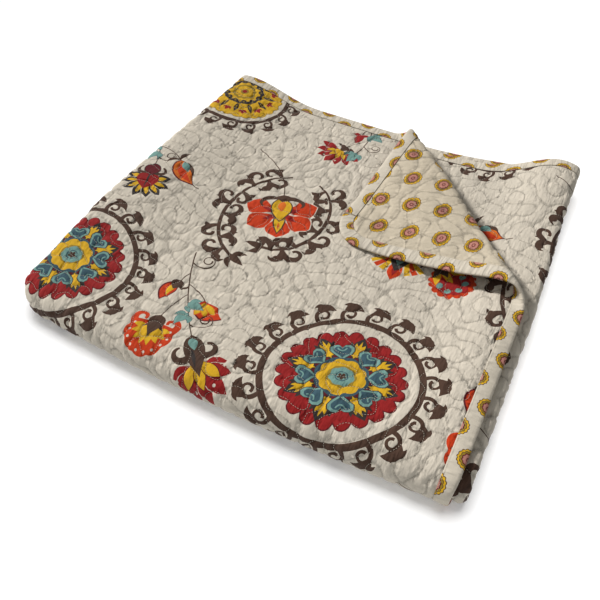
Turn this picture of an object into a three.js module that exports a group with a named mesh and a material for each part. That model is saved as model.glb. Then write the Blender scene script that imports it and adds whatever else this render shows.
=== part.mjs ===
// A quilted throw, folded: first in three across its length, then in half across its width,
// with one corner of the top layer turned back. Millimetres, +Z up, lying on Z = 0.
//
// The throw is one cloth with two coordinates: u runs along its length and v across its width.
// One function, midSurface(u, v), says where each point of the cloth lies in the folded stack,
// and every solid is that surface thickened: the quilted body, and the binding round its edge.
import * as THREE from "three";

// Sizes of the throw laid flat, and of its cloth.
const LENGTH = 1730;
const WIDTH = 1204;
const THICKNESS = 5.6;
const LAYER_GAP = 1.0;
const LAYER_PITCH = THICKNESS + LAYER_GAP;

// Sizes of the folded stack.
const STACK_WIDTH = 635;
const FRONT_EDGE = -317;
const BACK_EDGE = 284;
const LEFT_LOOP = 10.4;
const RIGHT_LOOP = 6.2;
const RIGHT_LOOP_REACH = 327;
const RIGHT_TAPER = 11;
const TOP_END_X = 312;
const FRONT_LOOP = 28;
const FRONT_SETTLE = 130;
const EDGE_SLIP = 0.3;
const PLAN_ROUND = 46;
const NOSE_ROUND = 24;
const FRONT_BULGE = 11;

// The binding: a strip folded over the edge, and the pressed rim of the quilt inside it.
const BINDING_WIDTH = 20;
const BINDING_HALF = 2.5;
const BINDING_CLOTH = 0.75;
const BINDING_CAVITY = 2.6;
const RIM_HALF = 1.2;
const RIM_INSET = 3.4;
const CORNER_RADIUS = 55;

// The turned-back corner: where its fold line meets the back edge and the right-hand edge.
const FOLD_AT_BACK = [-5, 286];
const FOLD_AT_SIDE = [308, -47];
const FOLD_BOW = 9.5;
const ROLL_RADIUS_BACK = 18;
const ROLL_RADIUS_SIDE = 13;
const FLAP_SHEAR = 0.055;
const FLAP_STRETCH = 1.016;
const FLAP_CLEARANCE = 1.6;
const FLAP_SETTLE = 150;
const CORNER_DRAG = 23;
const CORNER_DRAG_REACH = 330;

// The quilting: puffs between sewn-down valleys, wider here than the stitched ones.
const QUILT_DEPTH = 1.9;
const QUILT_PITCH = 46;
const QUILT_WAVES = 5;
const QUILT_CREST = 1.8;
const GOLDEN_ANGLE = Math.PI * (3 - Math.sqrt(5));

const smooth = (t) => {
  const s = Math.min(Math.max(t, 0), 1);
  return s * s * (3 - 2 * s);
};

// A value read from a table of knots, eased from one knot to the next.
function eased(knots, at) {
  if (at <= knots[0].at) return knots[0].value;
  for (let k = 1; k < knots.length; k++) {
    if (at > knots[k].at) continue;
    const span = knots[k].at - knots[k - 1].at;
    const share = smooth((at - knots[k - 1].at) / span);
    return knots[k - 1].value + share * (knots[k].value - knots[k - 1].value);
  }
  return knots[knots.length - 1].value;
}

// The stack is half of the folded throw: three panels joined by a loop at each side.
// Heights are measured from the stack's inner face to the middle of the cloth.
const HALF_WIDTH = STACK_WIDTH / 2;
const MIDDLE_HEIGHT = THICKNESS / 2;
const LEFT_LOOP_X = -HALF_WIDTH + LEFT_LOOP + THICKNESS / 2;
const RIGHT_LOOP_X = RIGHT_LOOP_REACH - RIGHT_LOOP - THICKNESS / 2;
const THREE_HIGH = MIDDLE_HEIGHT + 2 * LAYER_PITCH;
const RIGHT_TOP = MIDDLE_HEIGHT + 2 * RIGHT_LOOP + LAYER_PITCH + 1.2;
const topPanelHeight = [
  { at: LEFT_LOOP_X, value: MIDDLE_HEIGHT + 2 * LEFT_LOOP },
  { at: LEFT_LOOP_X + 150, value: THREE_HIGH + 0.4 },
  { at: 200, value: THREE_HIGH + 0.4 },
  { at: 285, value: RIGHT_TOP },
  { at: TOP_END_X + 30, value: RIGHT_TOP - 2.4 },
];
const innerPanelHeight = [
  { at: 20, value: MIDDLE_HEIGHT + LAYER_PITCH },
  { at: 235, value: MIDDLE_HEIGHT + LAYER_PITCH },
  { at: RIGHT_LOOP_X, value: MIDDLE_HEIGHT + 2 * RIGHT_LOOP },
];

// The cloth's sections in order along its length, each with its length.
const TOP_PANEL = TOP_END_X - LEFT_LOOP_X;
const MIDDLE_PANEL = RIGHT_LOOP_X - LEFT_LOOP_X;
const LEFT_TURN = Math.PI * LEFT_LOOP;
const RIGHT_TURN = Math.PI * RIGHT_LOOP;
const INNER_PANEL = LENGTH - TOP_PANEL - LEFT_TURN - MIDDLE_PANEL - RIGHT_TURN;
const LEFT_TURN_AT = TOP_PANEL;
const MIDDLE_AT = LEFT_TURN_AT + LEFT_TURN;
const RIGHT_TURN_AT = MIDDLE_AT + MIDDLE_PANEL;
const INNER_AT = RIGHT_TURN_AT + RIGHT_TURN;

// How far the cloth's edge at the back lies from BACK_EDGE, along the length.
const backEdgeShift = [
  { at: 0, value: 17 },
  { at: 320, value: 0 },
  { at: TOP_PANEL - 170, value: 0 },
  { at: TOP_PANEL - 20, value: 16 },
  { at: MIDDLE_AT + 60, value: 2 },
  { at: RIGHT_TURN_AT - 250, value: -10 },
  { at: RIGHT_TURN_AT - 110, value: -12 },
  { at: RIGHT_TURN_AT - 20, value: 14 },
  { at: INNER_AT + 15, value: 20 },
  { at: INNER_AT + 150, value: -12 },
  { at: INNER_AT + 250, value: -12 },
  { at: LENGTH, value: -4 },
];

// Where a point at u lies across the stack: x, and its height from the inner face.
function acrossStack(u) {
  if (u < LEFT_TURN_AT) {
    const x = TOP_END_X - u;
    return { x, height: eased(topPanelHeight, x) };
  }
  if (u < MIDDLE_AT) {
    const turn = (u - LEFT_TURN_AT) / LEFT_LOOP;
    return {
      x: LEFT_LOOP_X - LEFT_LOOP * Math.sin(turn),
      height: MIDDLE_HEIGHT + LEFT_LOOP * (1 + Math.cos(turn)),
    };
  }
  if (u < RIGHT_TURN_AT) {
    return { x: LEFT_LOOP_X + u - MIDDLE_AT, height: MIDDLE_HEIGHT };
  }
  if (u < INNER_AT) {
    const turn = (u - RIGHT_TURN_AT) / RIGHT_LOOP;
    return {
      x: RIGHT_LOOP_X + RIGHT_LOOP * Math.sin(turn),
      height: MIDDLE_HEIGHT + RIGHT_LOOP * (1 - Math.cos(turn)),
    };
  }
  const x = RIGHT_LOOP_X - (u - INNER_AT);
  return { x, height: eased(innerPanelHeight, x) };
}

// How much of the cloth's width the front loop takes up, along the length.
const frontLoopTakes = [
  { at: TOP_PANEL - 130, value: 79 },
  { at: MIDDLE_AT + 130, value: 30 },
  { at: RIGHT_TURN_AT - 130, value: 30 },
  { at: INNER_AT + 130, value: 57 },
];

const stackThickness = (x) => eased(topPanelHeight, x) + THICKNESS / 2;
const innerRadius = (x) => FRONT_LOOP - stackThickness(x);
const bendCentre = (x) =>
  FRONT_EDGE + FRONT_LOOP - FRONT_BULGE * Math.max(1 - (x / HALF_WIDTH) ** 2, 0) ** 1.5;

// The stack bends round a front loop: a point's radius there, and where its bend starts and ends.
function bendOf(u) {
  const { x, height } = acrossStack(u);
  const radius = innerRadius(x) + height;
  const outer = FRONT_LOOP - THICKNESS / 2;
  const back = BACK_EDGE + eased(backEdgeShift, u) + EDGE_SLIP * (outer - radius);
  const start = back - bendCentre(x);
  return { x, height, radius, back, start, end: start + eased(frontLoopTakes, u) };
}

// The throw's own looseness: how much the pitch of the layers opens, place by place.
const looseSpots = [
  { x: 280, y: 290, reach: 72, opening: 0.5 },
  { x: -300, y: 290, reach: 70, opening: 0.12 },
  { x: -20, y: 290, reach: 90, opening: -0.05 },
  { x: 120, y: -150, reach: 110, opening: 0.03 },
];

function openedPitch(x, y) {
  let scale = 1;
  for (const spot of looseSpots) {
    const squared = (x - spot.x) ** 2 + (y - spot.y) ** 2;
    scale += spot.opening * Math.exp(-squared / (2 * spot.reach ** 2));
  }
  return scale + 0.02 * Math.sin(x / 52 + 0.6) * Math.cos(y / 61 - 0.4);
}

const opened = (x, y, z) =>
  MIDDLE_HEIGHT + (z - MIDDLE_HEIGHT) * openedPitch(x, y);

// The height of a layer in the upper half, which settles on to the lower half behind the front loop.
function upperHeight(x, y, height) {
  const slack = 2 * innerRadius(x) - LAYER_GAP;
  const settled = slack * smooth((y - bendCentre(x)) / FRONT_SETTLE);
  return FRONT_LOOP + innerRadius(x) + height - settled;
}

// In plan, the left-hand side bulges, and the right-hand side comes in a little towards the back.
const leftBulge = [
  { at: -300, value: 0 },
  { at: -95, value: 17 },
  { at: 110, value: 13 },
  { at: 290, value: 3 },
];

function swayed(x, y) {
  const right = RIGHT_TAPER * smooth((x - 90) / 236) * smooth((y + 60) / 360);
  return x - right - eased(leftBulge, y) * smooth((60 - x) / 360);
}

// In plan, a square corner is drawn in to a quarter disc. The side is -1 on the left, 1 on the right.
function cornerDrawnIn(x, y, side, reach, radius) {
  const a = (side * x - (reach - radius)) / radius;
  const b = (FRONT_EDGE + radius - y) / radius;
  if (a <= 0 || b <= 0) return [x, y];
  const across = a * Math.sqrt(1 - (b * b) / 2);
  const along = b * Math.sqrt(1 - (a * a) / 2);
  return [side * (reach - radius + radius * across), FRONT_EDGE + radius - radius * along];
}

// In plan, both front corners of the stack are round.
function roundedPlan(x, y) {
  const left = cornerDrawnIn(swayed(x, y), y, -1, HALF_WIDTH, PLAN_ROUND);
  return cornerDrawnIn(...left, 1, RIGHT_LOOP_REACH, NOSE_ROUND);
}

// The turned-back corner rolls over its fold line and comes down on the top panel.
const foldStart = new THREE.Vector2(...FOLD_AT_BACK);
const foldEnd = new THREE.Vector2(...FOLD_AT_SIDE);
const foldLength = foldStart.distanceTo(foldEnd);
const foldAlong = foldEnd.clone().sub(foldStart).normalize();
const foldOut = new THREE.Vector2(-foldAlong.y, foldAlong.x);

function turnedBack(x, y) {
  const from = new THREE.Vector2(x, y).sub(foldStart);
  const share = Math.min(Math.max(from.dot(foldAlong) / foldLength, 0), 1);
  const out = from.dot(foldOut) - FOLD_BOW * Math.sin(Math.PI * share);
  if (out <= 0) return { x, y, rise: 0 };
  const radius = ROLL_RADIUS_BACK + share * (ROLL_RADIUS_SIDE - ROLL_RADIUS_BACK);
  const half = Math.PI * radius;
  let reach = radius * Math.sin(out / radius);
  let rise = radius * (1 - Math.cos(out / radius));
  if (out > half) {
    reach = FLAP_STRETCH * (half - out);
    const resting = THICKNESS + FLAP_CLEARANCE;
    rise = 2 * radius - (2 * radius - resting) * smooth((out - half) / FLAP_SETTLE);
  }
  const shift = reach - out;
  const slide = FLAP_SHEAR * Math.max(out - half, 0);
  return {
    x: x + foldOut.x * shift + foldAlong.x * slide,
    y: y + foldOut.y * shift + foldAlong.y * slide,
    rise,
  };
}

// Where the point (u, v) of the cloth lies in the folded throw.
function midSurface(u, v) {
  const bend = bendOf(u);
  if (v < bend.start) {
    let x = bend.x;
    let y = bend.back - v;
    let height = bend.height;
    let rise = 0;
    if (u < LEFT_TURN_AT) {
      const drag = smooth(1 - u / CORNER_DRAG_REACH) * smooth(1 - v / CORNER_DRAG_REACH);
      x += CORNER_DRAG * drag;
      const turned = turnedBack(x, y);
      if (turned.rise > 0) {
        x = turned.x;
        y = turned.y;
        rise = turned.rise;
        height = eased(topPanelHeight, x);
      }
    }
    const z = opened(x, y, upperHeight(x, y, height)) + rise;
    return new THREE.Vector3(...roundedPlan(x, y), z);
  }
  if (v < bend.end) {
    const turn = (Math.PI * (v - bend.start)) / (bend.end - bend.start);
    const y = bendCentre(bend.x) - bend.radius * Math.sin(turn);
    const z = FRONT_LOOP + bend.radius * Math.cos(turn);
    return new THREE.Vector3(...roundedPlan(bend.x, y), opened(bend.x, y, z));
  }
  const y = bendCentre(bend.x) + v - bend.end;
  const z = stackThickness(bend.x) - bend.height;
  return new THREE.Vector3(...roundedPlan(bend.x, y), opened(bend.x, y, z));
}

// The printed face's outward direction at (u, v), from the slopes of the surface.
function faceNormal(u, v) {
  const step = 0.4;
  const low = { u: Math.max(u - step, 0), v: Math.max(v - step, 0) };
  const high = { u: Math.min(u + step, LENGTH), v: Math.min(v + step, WIDTH) };
  const alongU = midSurface(high.u, v).sub(midSurface(low.u, v));
  const alongV = midSurface(u, high.v).sub(midSurface(u, low.v));
  return alongU.cross(alongV).normalize();
}

function offsetPoint(u, v, offset) {
  return midSurface(u, v).addScaledVector(faceNormal(u, v), offset);
}

// How deep the quilt is sewn down: waves in several directions add up to uneven puffs and valleys.
function quiltedDip(u, v) {
  let sum = 0;
  for (let k = 0; k < QUILT_WAVES; k++) {
    const angle = k * GOLDEN_ANGLE;
    const distance = u * Math.cos(angle) + v * Math.sin(angle);
    sum += Math.cos((2 * Math.PI * distance) / QUILT_PITCH + 1.7 * k * k);
  }
  const puff = Math.min(Math.max(sum / QUILT_CREST, -1), 1);
  return (QUILT_DEPTH * (1 - puff)) / 2;
}

// How far a point of the cloth lies from its edge, whose corners are round.
function insetAt(u, v) {
  const fromU = Math.min(u, LENGTH - u);
  const fromV = Math.min(v, WIDTH - v);
  if (fromU >= CORNER_RADIUS || fromV >= CORNER_RADIUS) return Math.min(fromU, fromV);
  return CORNER_RADIUS - Math.hypot(CORNER_RADIUS - fromU, CORNER_RADIUS - fromV);
}

// Half the quilt's thickness at a point: pressed thin inside the binding, quilted elsewhere.
function halfThickness(u, v) {
  const inset = insetAt(u, v);
  if (inset <= BINDING_WIDTH + 0.7) return RIM_HALF;
  const full = THICKNESS / 2;
  const shown = v < bendOf(u).start + 20 && (u < MIDDLE_AT || u > INNER_AT);
  return shown ? full - quiltedDip(u, v) : full;
}

// Stations along the length and rows across the width. They are close together where the face
// shows and where the cloth turns. The reverse shows only at the turned-back corner, so
// elsewhere it keeps fewer of them.
const EDGE_STEPS = [RIM_INSET, BINDING_WIDTH + 0.6, 27, 41, CORNER_RADIUS];
const CORNER_END = 340;

function evenly(from, to, steps) {
  return Array.from({ length: steps }, (_, k) => from + ((k + 1) * (to - from)) / steps);
}

const lengthTable = [
  { from: CORNER_RADIUS, to: CORNER_END, steps: 19 },
  { from: CORNER_END, to: TOP_PANEL - 76, steps: 10, thins: 2 },
  { from: TOP_PANEL - 76, to: TOP_PANEL, steps: 4 },
  { from: LEFT_TURN_AT, to: MIDDLE_AT, steps: 5 },
  { from: MIDDLE_AT, to: MIDDLE_AT + 120, steps: 3 },
  { from: MIDDLE_AT + 120, to: RIGHT_TURN_AT - 190, steps: 3 },
  { from: RIGHT_TURN_AT - 190, to: RIGHT_TURN_AT, steps: 6 },
  { from: RIGHT_TURN_AT, to: INNER_AT, steps: 4 },
  { from: INNER_AT, to: INNER_AT + 200, steps: 7 },
  { from: INNER_AT + 200, to: LENGTH - CORNER_RADIUS, steps: 3 },
];

const widthTable = [
  { from: CORNER_RADIUS, to: CORNER_END, steps: 19, thins: 2 },
  { from: CORNER_END, to: 544, steps: 10, thins: 2 },
];

const REFERENCE_START = BACK_EDGE - FRONT_EDGE - FRONT_LOOP;
const BEND_STEPS = 7;
const lowerRows = [80, 200, 330, 430];

const farSteps = (size) => EDGE_STEPS.map((inset) => size - inset).reverse();

// A table's places in order, each marked if the sparse grid keeps it.
function markedPlaces(table) {
  return table.flatMap(({ from, to, steps, thins = 1 }) =>
    evenly(from, to, steps).map((at, k) => ({ at, kept: (k + 1) % thins === 0 })),
  );
}

const nearPlaces = EDGE_STEPS.map((at) => ({ at, kept: true }));
const stations = [
  ...nearPlaces,
  ...markedPlaces(lengthTable).slice(0, -1),
  ...farSteps(LENGTH).map((at) => ({ at, kept: true })),
];
const lengthStations = stations.map(({ at }) => at);

// Rows across the width follow the folds: every layer's rows reach the front bend together.
const upperRows = [...nearPlaces, ...markedPlaces(widthTable)];
const bendShares = evenly(-1 / BEND_STEPS, 1, BEND_STEPS + 1);

function rowPlaces(u) {
  const { start, end } = bendOf(u);
  const upper = upperRows.map(
    ({ at }) => at + (start - REFERENCE_START) * smooth((at - 60) / 380),
  );
  const bend = bendShares.map((share) => start + share * (end - start));
  const lower = lowerRows.map((row) => end + row);
  return [...upper, ...bend, ...lower, ...farSteps(WIDTH)];
}

const ROWS = rowPlaces(0).length;
const allRows = Array.from({ length: ROWS }, (_, j) => j);
const sparseRows = allRows.filter((j) => !upperRows[j] || upperRows[j].kept);
const allColumns = stations.map((_, i) => i);

// The face keeps every row where it shows. The reverse does so at the turned-back corner only.
const cornerRows = allRows.filter((j) => {
  const row = upperRows[j];
  return !row || row.at <= CORNER_END || row.kept;
});
const faceRows = (i) => (lengthStations[i] <= MIDDLE_AT ? allRows : sparseRows);
const reverseRows = (i) => {
  if (i === 0) return allRows;
  return lengthStations[i] <= CORNER_END ? cornerRows : sparseRows;
};
const reverseColumns = allColumns.filter(
  (i) => stations[i].kept || lengthStations[i] <= CORNER_END,
);

// A closed mesh from its points and its triangles.
function closedMesh(name, points, triangles, colour, roughness) {
  const geometry = new THREE.BufferGeometry();
  const positions = new Float32Array(points.flatMap((p) => [p.x, p.y, p.z]));
  geometry.setAttribute("position", new THREE.BufferAttribute(positions, 3));
  geometry.setIndex(triangles);
  geometry.computeVertexNormals();
  const material = new THREE.MeshStandardMaterial({
    color: colour,
    roughness,
    metalness: 0,
  });
  const mesh = new THREE.Mesh(geometry, material);
  mesh.name = name;
  return mesh;
}

// Triangles between two lines of points, which need not hold as many points as each other.
// Each point is its number in the mesh and how far along the line it lies. Where both lines
// hold points abreast, firstLeads picks the diagonal, to run along the turned-back corner's roll.
function zipped(first, second, firstLeads = true) {
  const triangles = [];
  let a = 0;
  let b = 0;
  while (a + 1 < first.length || b + 1 < second.length) {
    const nextA = a + 1 < first.length ? first[a + 1].at : Infinity;
    const nextB = b + 1 < second.length ? second[b + 1].at : Infinity;
    if (nextA < nextB || (nextA === nextB && firstLeads)) {
      triangles.push([first[a].id, second[b].id, first[a + 1].id]);
      a += 1;
    } else {
      triangles.push([first[a].id, second[b].id, second[b + 1].id]);
      b += 1;
    }
  }
  return triangles;
}

// One side of the body: its outermost rows hold every station, its inner rows those listed.
function sideTriangles(columns, rowsOf) {
  const point = (i, j) => ({ id: i * ROWS + j, at: j });
  const inner = (i) => rowsOf(i).slice(1, -1).map((j) => point(i, j));
  const along = (list, j) => list.map((i) => ({ id: i * ROWS + j, at: lengthStations[i] }));
  const strips = [];
  for (let k = 0; k + 1 < columns.length; k++) {
    strips.push(...zipped(inner(columns[k]), inner(columns[k + 1])));
  }
  strips.push(...zipped(along(columns, 1), along(allColumns, 0), false));
  strips.push(...zipped(along(allColumns, ROWS - 1), along(columns, ROWS - 2)));
  return strips;
}

// At a corner of the cloth, the square grid is drawn in to a quarter disc.
function roundedCorner(u, v) {
  const farU = u > LENGTH / 2;
  const farV = v > WIDTH / 2;
  const a = 1 - (farU ? LENGTH - u : u) / CORNER_RADIUS;
  const b = 1 - (farV ? WIDTH - v : v) / CORNER_RADIUS;
  if (a <= 0 || b <= 0) return [u, v];
  const scale = (CORNER_RADIUS * Math.max(a, b)) / Math.hypot(a, b);
  const insetU = CORNER_RADIUS - a * scale;
  const insetV = CORNER_RADIUS - b * scale;
  return [farU ? LENGTH - insetU : insetU, farV ? WIDTH - insetV : insetV];
}

// The quilted body: the printed face, the reverse and the rim between them.
function quiltedBody() {
  const face = [];
  const reverse = [];
  for (const station of lengthStations) {
    for (const place of rowPlaces(station)) {
      const [u, v] = roundedCorner(station, place);
      const half = halfThickness(u, v);
      face.push(offsetPoint(u, v, half));
      reverse.push(offsetPoint(u, v, -half));
    }
  }
  const count = face.length;
  const last = allColumns.length - 1;
  const rim = [
    ...allColumns.map((i) => i * ROWS),
    ...sparseRows.slice(1).map((j) => last * ROWS + j),
    ...[...allColumns].reverse().slice(1).map((i) => (i + 1) * ROWS - 1),
    ...[...allRows].reverse().slice(1, -1),
  ];
  const triangles = [
    ...sideTriangles(allColumns, faceRows).flatMap(([a, b, c]) => [a, b, c]),
    ...sideTriangles(reverseColumns, reverseRows).flatMap(([a, b, c]) => [
      a + count,
      c + count,
      b + count,
    ]),
  ];
  rim.forEach((a, k) => {
    const b = rim[(k + 1) % rim.length];
    triangles.push(a, a + count, b, b, a + count, b + count);
  });
  return closedMesh("quilt", [...face, ...reverse], triangles, 0xd8cfbe, 0.92);
}

// The binding's section, as inset from the edge and offset from the cloth's middle.
const bindingSection = [
  { inset: BINDING_WIDTH, offset: BINDING_HALF },
  { inset: 1.5, offset: BINDING_HALF },
  { inset: 0, offset: 0 },
  { inset: 1.5, offset: -BINDING_HALF },
  { inset: BINDING_WIDTH, offset: -BINDING_HALF },
  { inset: BINDING_WIDTH, offset: BINDING_CLOTH - BINDING_HALF },
  { inset: BINDING_CAVITY, offset: BINDING_CLOTH - BINDING_HALF },
  { inset: BINDING_CAVITY, offset: BINDING_HALF - BINDING_CLOTH },
  { inset: BINDING_WIDTH, offset: BINDING_HALF - BINDING_CLOTH },
];

// The directions from a corner's centre to the body's own points round that corner.
const halfCorner = EDGE_STEPS.map((inset) =>
  Math.atan2(CORNER_RADIUS - inset, CORNER_RADIUS - RIM_INSET),
).reverse();
const cornerAngles = [
  ...halfCorner,
  ...halfCorner.slice(0, -1).reverse().map((angle) => Math.PI / 2 - angle),
];

// The way round the edge, as functions from an inset to a point of the cloth.
function edgeWalk() {
  const steps = [];
  const between = (at, size) => at > CORNER_RADIUS + 1e-6 && at < size - CORNER_RADIUS - 1e-6;
  const inner = lengthStations.filter((u) => between(u, LENGTH));
  const innerRows = (rows) => rows.filter((j) => between(rowPlaces(0)[j], WIDTH));
  const corner = (cu, cv, from) => {
    for (const angle of cornerAngles) {
      const cos = Math.cos(from + angle);
      const sin = Math.sin(from + angle);
      steps.push((inset) => [
        cu + (CORNER_RADIUS - inset) * cos,
        cv + (CORNER_RADIUS - inset) * sin,
      ]);
    }
  };
  const farU = LENGTH - CORNER_RADIUS;
  const farV = WIDTH - CORNER_RADIUS;
  corner(CORNER_RADIUS, CORNER_RADIUS, Math.PI);
  inner.forEach((u) => steps.push((inset) => [u, inset]));
  corner(farU, CORNER_RADIUS, -Math.PI / 2);
  innerRows(sparseRows).forEach((j) =>
    steps.push((inset) => [LENGTH - inset, rowPlaces(LENGTH - inset)[j]]),
  );
  corner(farU, farV, 0);
  [...inner].reverse().forEach((u) => steps.push((inset) => [u, WIDTH - inset]));
  corner(CORNER_RADIUS, farV, Math.PI / 2);
  innerRows(allRows).reverse().forEach((j) =>
    steps.push((inset) => [inset, rowPlaces(inset)[j]]),
  );
  return steps;
}

function edgeBinding() {
  const walk = edgeWalk();
  const around = bindingSection.length;
  const points = walk.flatMap((place) =>
    bindingSection.map(({ inset, offset }) => offsetPoint(...place(inset), offset)),
  );
  const triangles = [];
  for (let s = 0; s < walk.length; s++) {
    const next = (s + 1) % walk.length;
    for (let k = 0; k < around; k++) {
      const turn = (k + 1) % around;
      const a = s * around + k;
      const b = next * around + k;
      const c = next * around + turn;
      const d = s * around + turn;
      const inset = (bindingSection[k].inset + bindingSection[turn].inset) / 2;
      const offset = (bindingSection[k].offset + bindingSection[turn].offset) / 2;
      const [u0, v0] = walk[s](inset);
      const [u1, v1] = walk[next](inset);
      const centre = offsetPoint((u0 + u1) / 2, (v0 + v1) / 2, offset);
      const miss = (p, q) => points[p].clone().lerp(points[q], 0.5).distanceTo(centre);
      if (miss(b, d) < miss(a, c)) triangles.push(a, d, b, b, d, c);
      else triangles.push(a, c, b, a, d, c);
    }
  }
  return closedMesh("binding", points, triangles, 0xd9cfb8, 0.9);
}

const throwGroup = new THREE.Group();
throwGroup.name = "quilted_throw";
throwGroup.add(quiltedBody(), edgeBinding());

// The origin is under the middle of the folded throw, on the surface that it lies on.
const extent = new THREE.Box3().setFromObject(throwGroup, true);
const middle = extent.getCenter(new THREE.Vector3());
throwGroup.position.set(-middle.x, -middle.y, -extent.min.z);

export default throwGroup;
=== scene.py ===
# %% [markdown]
# # A quilted throw, folded, with one corner turned back
#
# The real object is one cloth of three layers: a printed cotton face, a thin wadding and a
# cotton backing. They are sewn together with one long wandering line of stitches, and the edge
# is bound with a strip of a like cloth. The throw is folded in three across its length and then
# in half across its width. This lesson makes the cloth as one function of two cloth
# coordinates, and then dresses that one surface with quilting, print, thread and binding.

import bpy
import numpy as np
from mathutils import Matrix, Vector
from mathutils.geometry import delaunay_2d_cdt


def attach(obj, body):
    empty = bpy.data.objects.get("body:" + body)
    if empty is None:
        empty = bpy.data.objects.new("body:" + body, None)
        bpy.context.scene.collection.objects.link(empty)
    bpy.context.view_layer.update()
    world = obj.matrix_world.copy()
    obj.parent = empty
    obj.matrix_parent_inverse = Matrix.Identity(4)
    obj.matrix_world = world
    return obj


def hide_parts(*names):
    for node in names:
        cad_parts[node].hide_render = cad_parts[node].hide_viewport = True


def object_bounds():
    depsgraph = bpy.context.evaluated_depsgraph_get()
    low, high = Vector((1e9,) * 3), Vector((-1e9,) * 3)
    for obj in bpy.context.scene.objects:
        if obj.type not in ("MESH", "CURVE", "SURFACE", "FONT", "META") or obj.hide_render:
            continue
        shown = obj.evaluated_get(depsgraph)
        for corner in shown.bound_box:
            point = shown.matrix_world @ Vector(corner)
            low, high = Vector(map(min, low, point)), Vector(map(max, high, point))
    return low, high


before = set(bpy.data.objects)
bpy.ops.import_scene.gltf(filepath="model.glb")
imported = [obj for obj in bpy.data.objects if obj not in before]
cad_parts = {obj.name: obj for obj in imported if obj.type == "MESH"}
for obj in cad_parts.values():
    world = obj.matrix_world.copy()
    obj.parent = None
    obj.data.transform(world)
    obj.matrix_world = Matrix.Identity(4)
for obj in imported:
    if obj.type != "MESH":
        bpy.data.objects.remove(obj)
CAD_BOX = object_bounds()
MM = 0.001
print("CAD box in metres:", CAD_BOX)

# %% [markdown]
# The sizes below are the throw's own, in millimetres: the cloth laid flat, the folded stack, and
# the turned-back corner. They are the same driving sizes that the solids were made from, so a
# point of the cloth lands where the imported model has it. Millimetres are kept until a mesh is
# made, because cloth and needlework are measured in them.

# %% Driving sizes of the cloth and the stack
LENGTH = 1730
WIDTH = 1204
THICKNESS = 5.6
LAYER_GAP = 1.0
LAYER_PITCH = THICKNESS + LAYER_GAP
STACK_WIDTH = 635
FRONT_EDGE = -317
BACK_EDGE = 284
LEFT_LOOP = 10.4
RIGHT_LOOP = 6.2
RIGHT_LOOP_REACH = 327
RIGHT_TAPER = 11
TOP_END_X = 312
FRONT_LOOP = 28
FRONT_SETTLE = 130
EDGE_SLIP = 0.3
PLAN_ROUND = 46
NOSE_ROUND = 24
FRONT_BULGE = 11
BINDING_WIDTH = 20
CORNER_RADIUS = 55
FOLD_AT_BACK = np.array([-5.0, 286.0])
FOLD_AT_SIDE = np.array([308.0, -47.0])
FOLD_BOW = 9.5
ROLL_RADIUS_BACK = 18
ROLL_RADIUS_SIDE = 13
FLAP_SHEAR = 0.055
FLAP_STRETCH = 1.016
FLAP_CLEARANCE = 1.6
FLAP_SETTLE = 150
CORNER_DRAG = 23
CORNER_DRAG_REACH = 330

# %% Where the cloth's panels and turns begin
HALF_WIDTH = STACK_WIDTH / 2
MIDDLE_HEIGHT = THICKNESS / 2
LEFT_LOOP_X = -HALF_WIDTH + LEFT_LOOP + THICKNESS / 2
RIGHT_LOOP_X = RIGHT_LOOP_REACH - RIGHT_LOOP - THICKNESS / 2
THREE_HIGH = MIDDLE_HEIGHT + 2 * LAYER_PITCH
RIGHT_TOP = MIDDLE_HEIGHT + 2 * RIGHT_LOOP + LAYER_PITCH + 1.2
TOP_PANEL = TOP_END_X - LEFT_LOOP_X
LEFT_TURN_AT = TOP_PANEL
MIDDLE_AT = LEFT_TURN_AT + np.pi * LEFT_LOOP
RIGHT_TURN_AT = MIDDLE_AT + RIGHT_LOOP_X - LEFT_LOOP_X
INNER_AT = RIGHT_TURN_AT + np.pi * RIGHT_LOOP

TOP_PANEL_HEIGHT = [
    (LEFT_LOOP_X, MIDDLE_HEIGHT + 2 * LEFT_LOOP),
    (LEFT_LOOP_X + 150, THREE_HIGH + 0.4),
    (200, THREE_HIGH + 0.4),
    (285, RIGHT_TOP),
    (TOP_END_X + 30, RIGHT_TOP - 2.4),
]
INNER_PANEL_HEIGHT = [
    (20, MIDDLE_HEIGHT + LAYER_PITCH),
    (235, MIDDLE_HEIGHT + LAYER_PITCH),
    (RIGHT_LOOP_X, MIDDLE_HEIGHT + 2 * RIGHT_LOOP),
]
BACK_EDGE_SHIFT = [
    (0, 17),
    (320, 0),
    (TOP_PANEL - 170, 0),
    (TOP_PANEL - 20, 16),
    (MIDDLE_AT + 60, 2),
    (RIGHT_TURN_AT - 250, -10),
    (RIGHT_TURN_AT - 110, -12),
    (RIGHT_TURN_AT - 20, 14),
    (INNER_AT + 15, 20),
    (INNER_AT + 150, -12),
    (INNER_AT + 250, -12),
    (LENGTH, -4),
]
FRONT_LOOP_TAKES = [
    (TOP_PANEL - 130, 79),
    (MIDDLE_AT + 130, 30),
    (RIGHT_TURN_AT - 130, 30),
    (INNER_AT + 130, 57),
]
LEFT_BULGE = [(-300, 0), (-95, 17), (110, 13), (290, 3)]
LOOSE_SPOTS = [
    (280, 290, 72, 0.5),
    (-300, 290, 70, 0.12),
    (-20, 290, 90, -0.05),
    (120, -150, 110, 0.03),
]
print(f"turns start at {LEFT_TURN_AT:.0f} and {RIGHT_TURN_AT:.0f} mm along the cloth")

# %% [markdown]
# A fold could be found by a cloth simulation, but this stack is tidy: three panels joined by a
# loop at each side, bent once round a front loop. A formula puts every layer where it belongs,
# keeps the layers apart, and gives the same result on each run, so the fold is a function here.

# %% Where a point of the cloth lies: helpers
def smooth(t):
    """An ease from 0 to 1: t squared times three less twice t, with t held from 0 to 1."""
    s = np.clip(t, 0.0, 1.0)
    return s * s * (3 - 2 * s)


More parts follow.
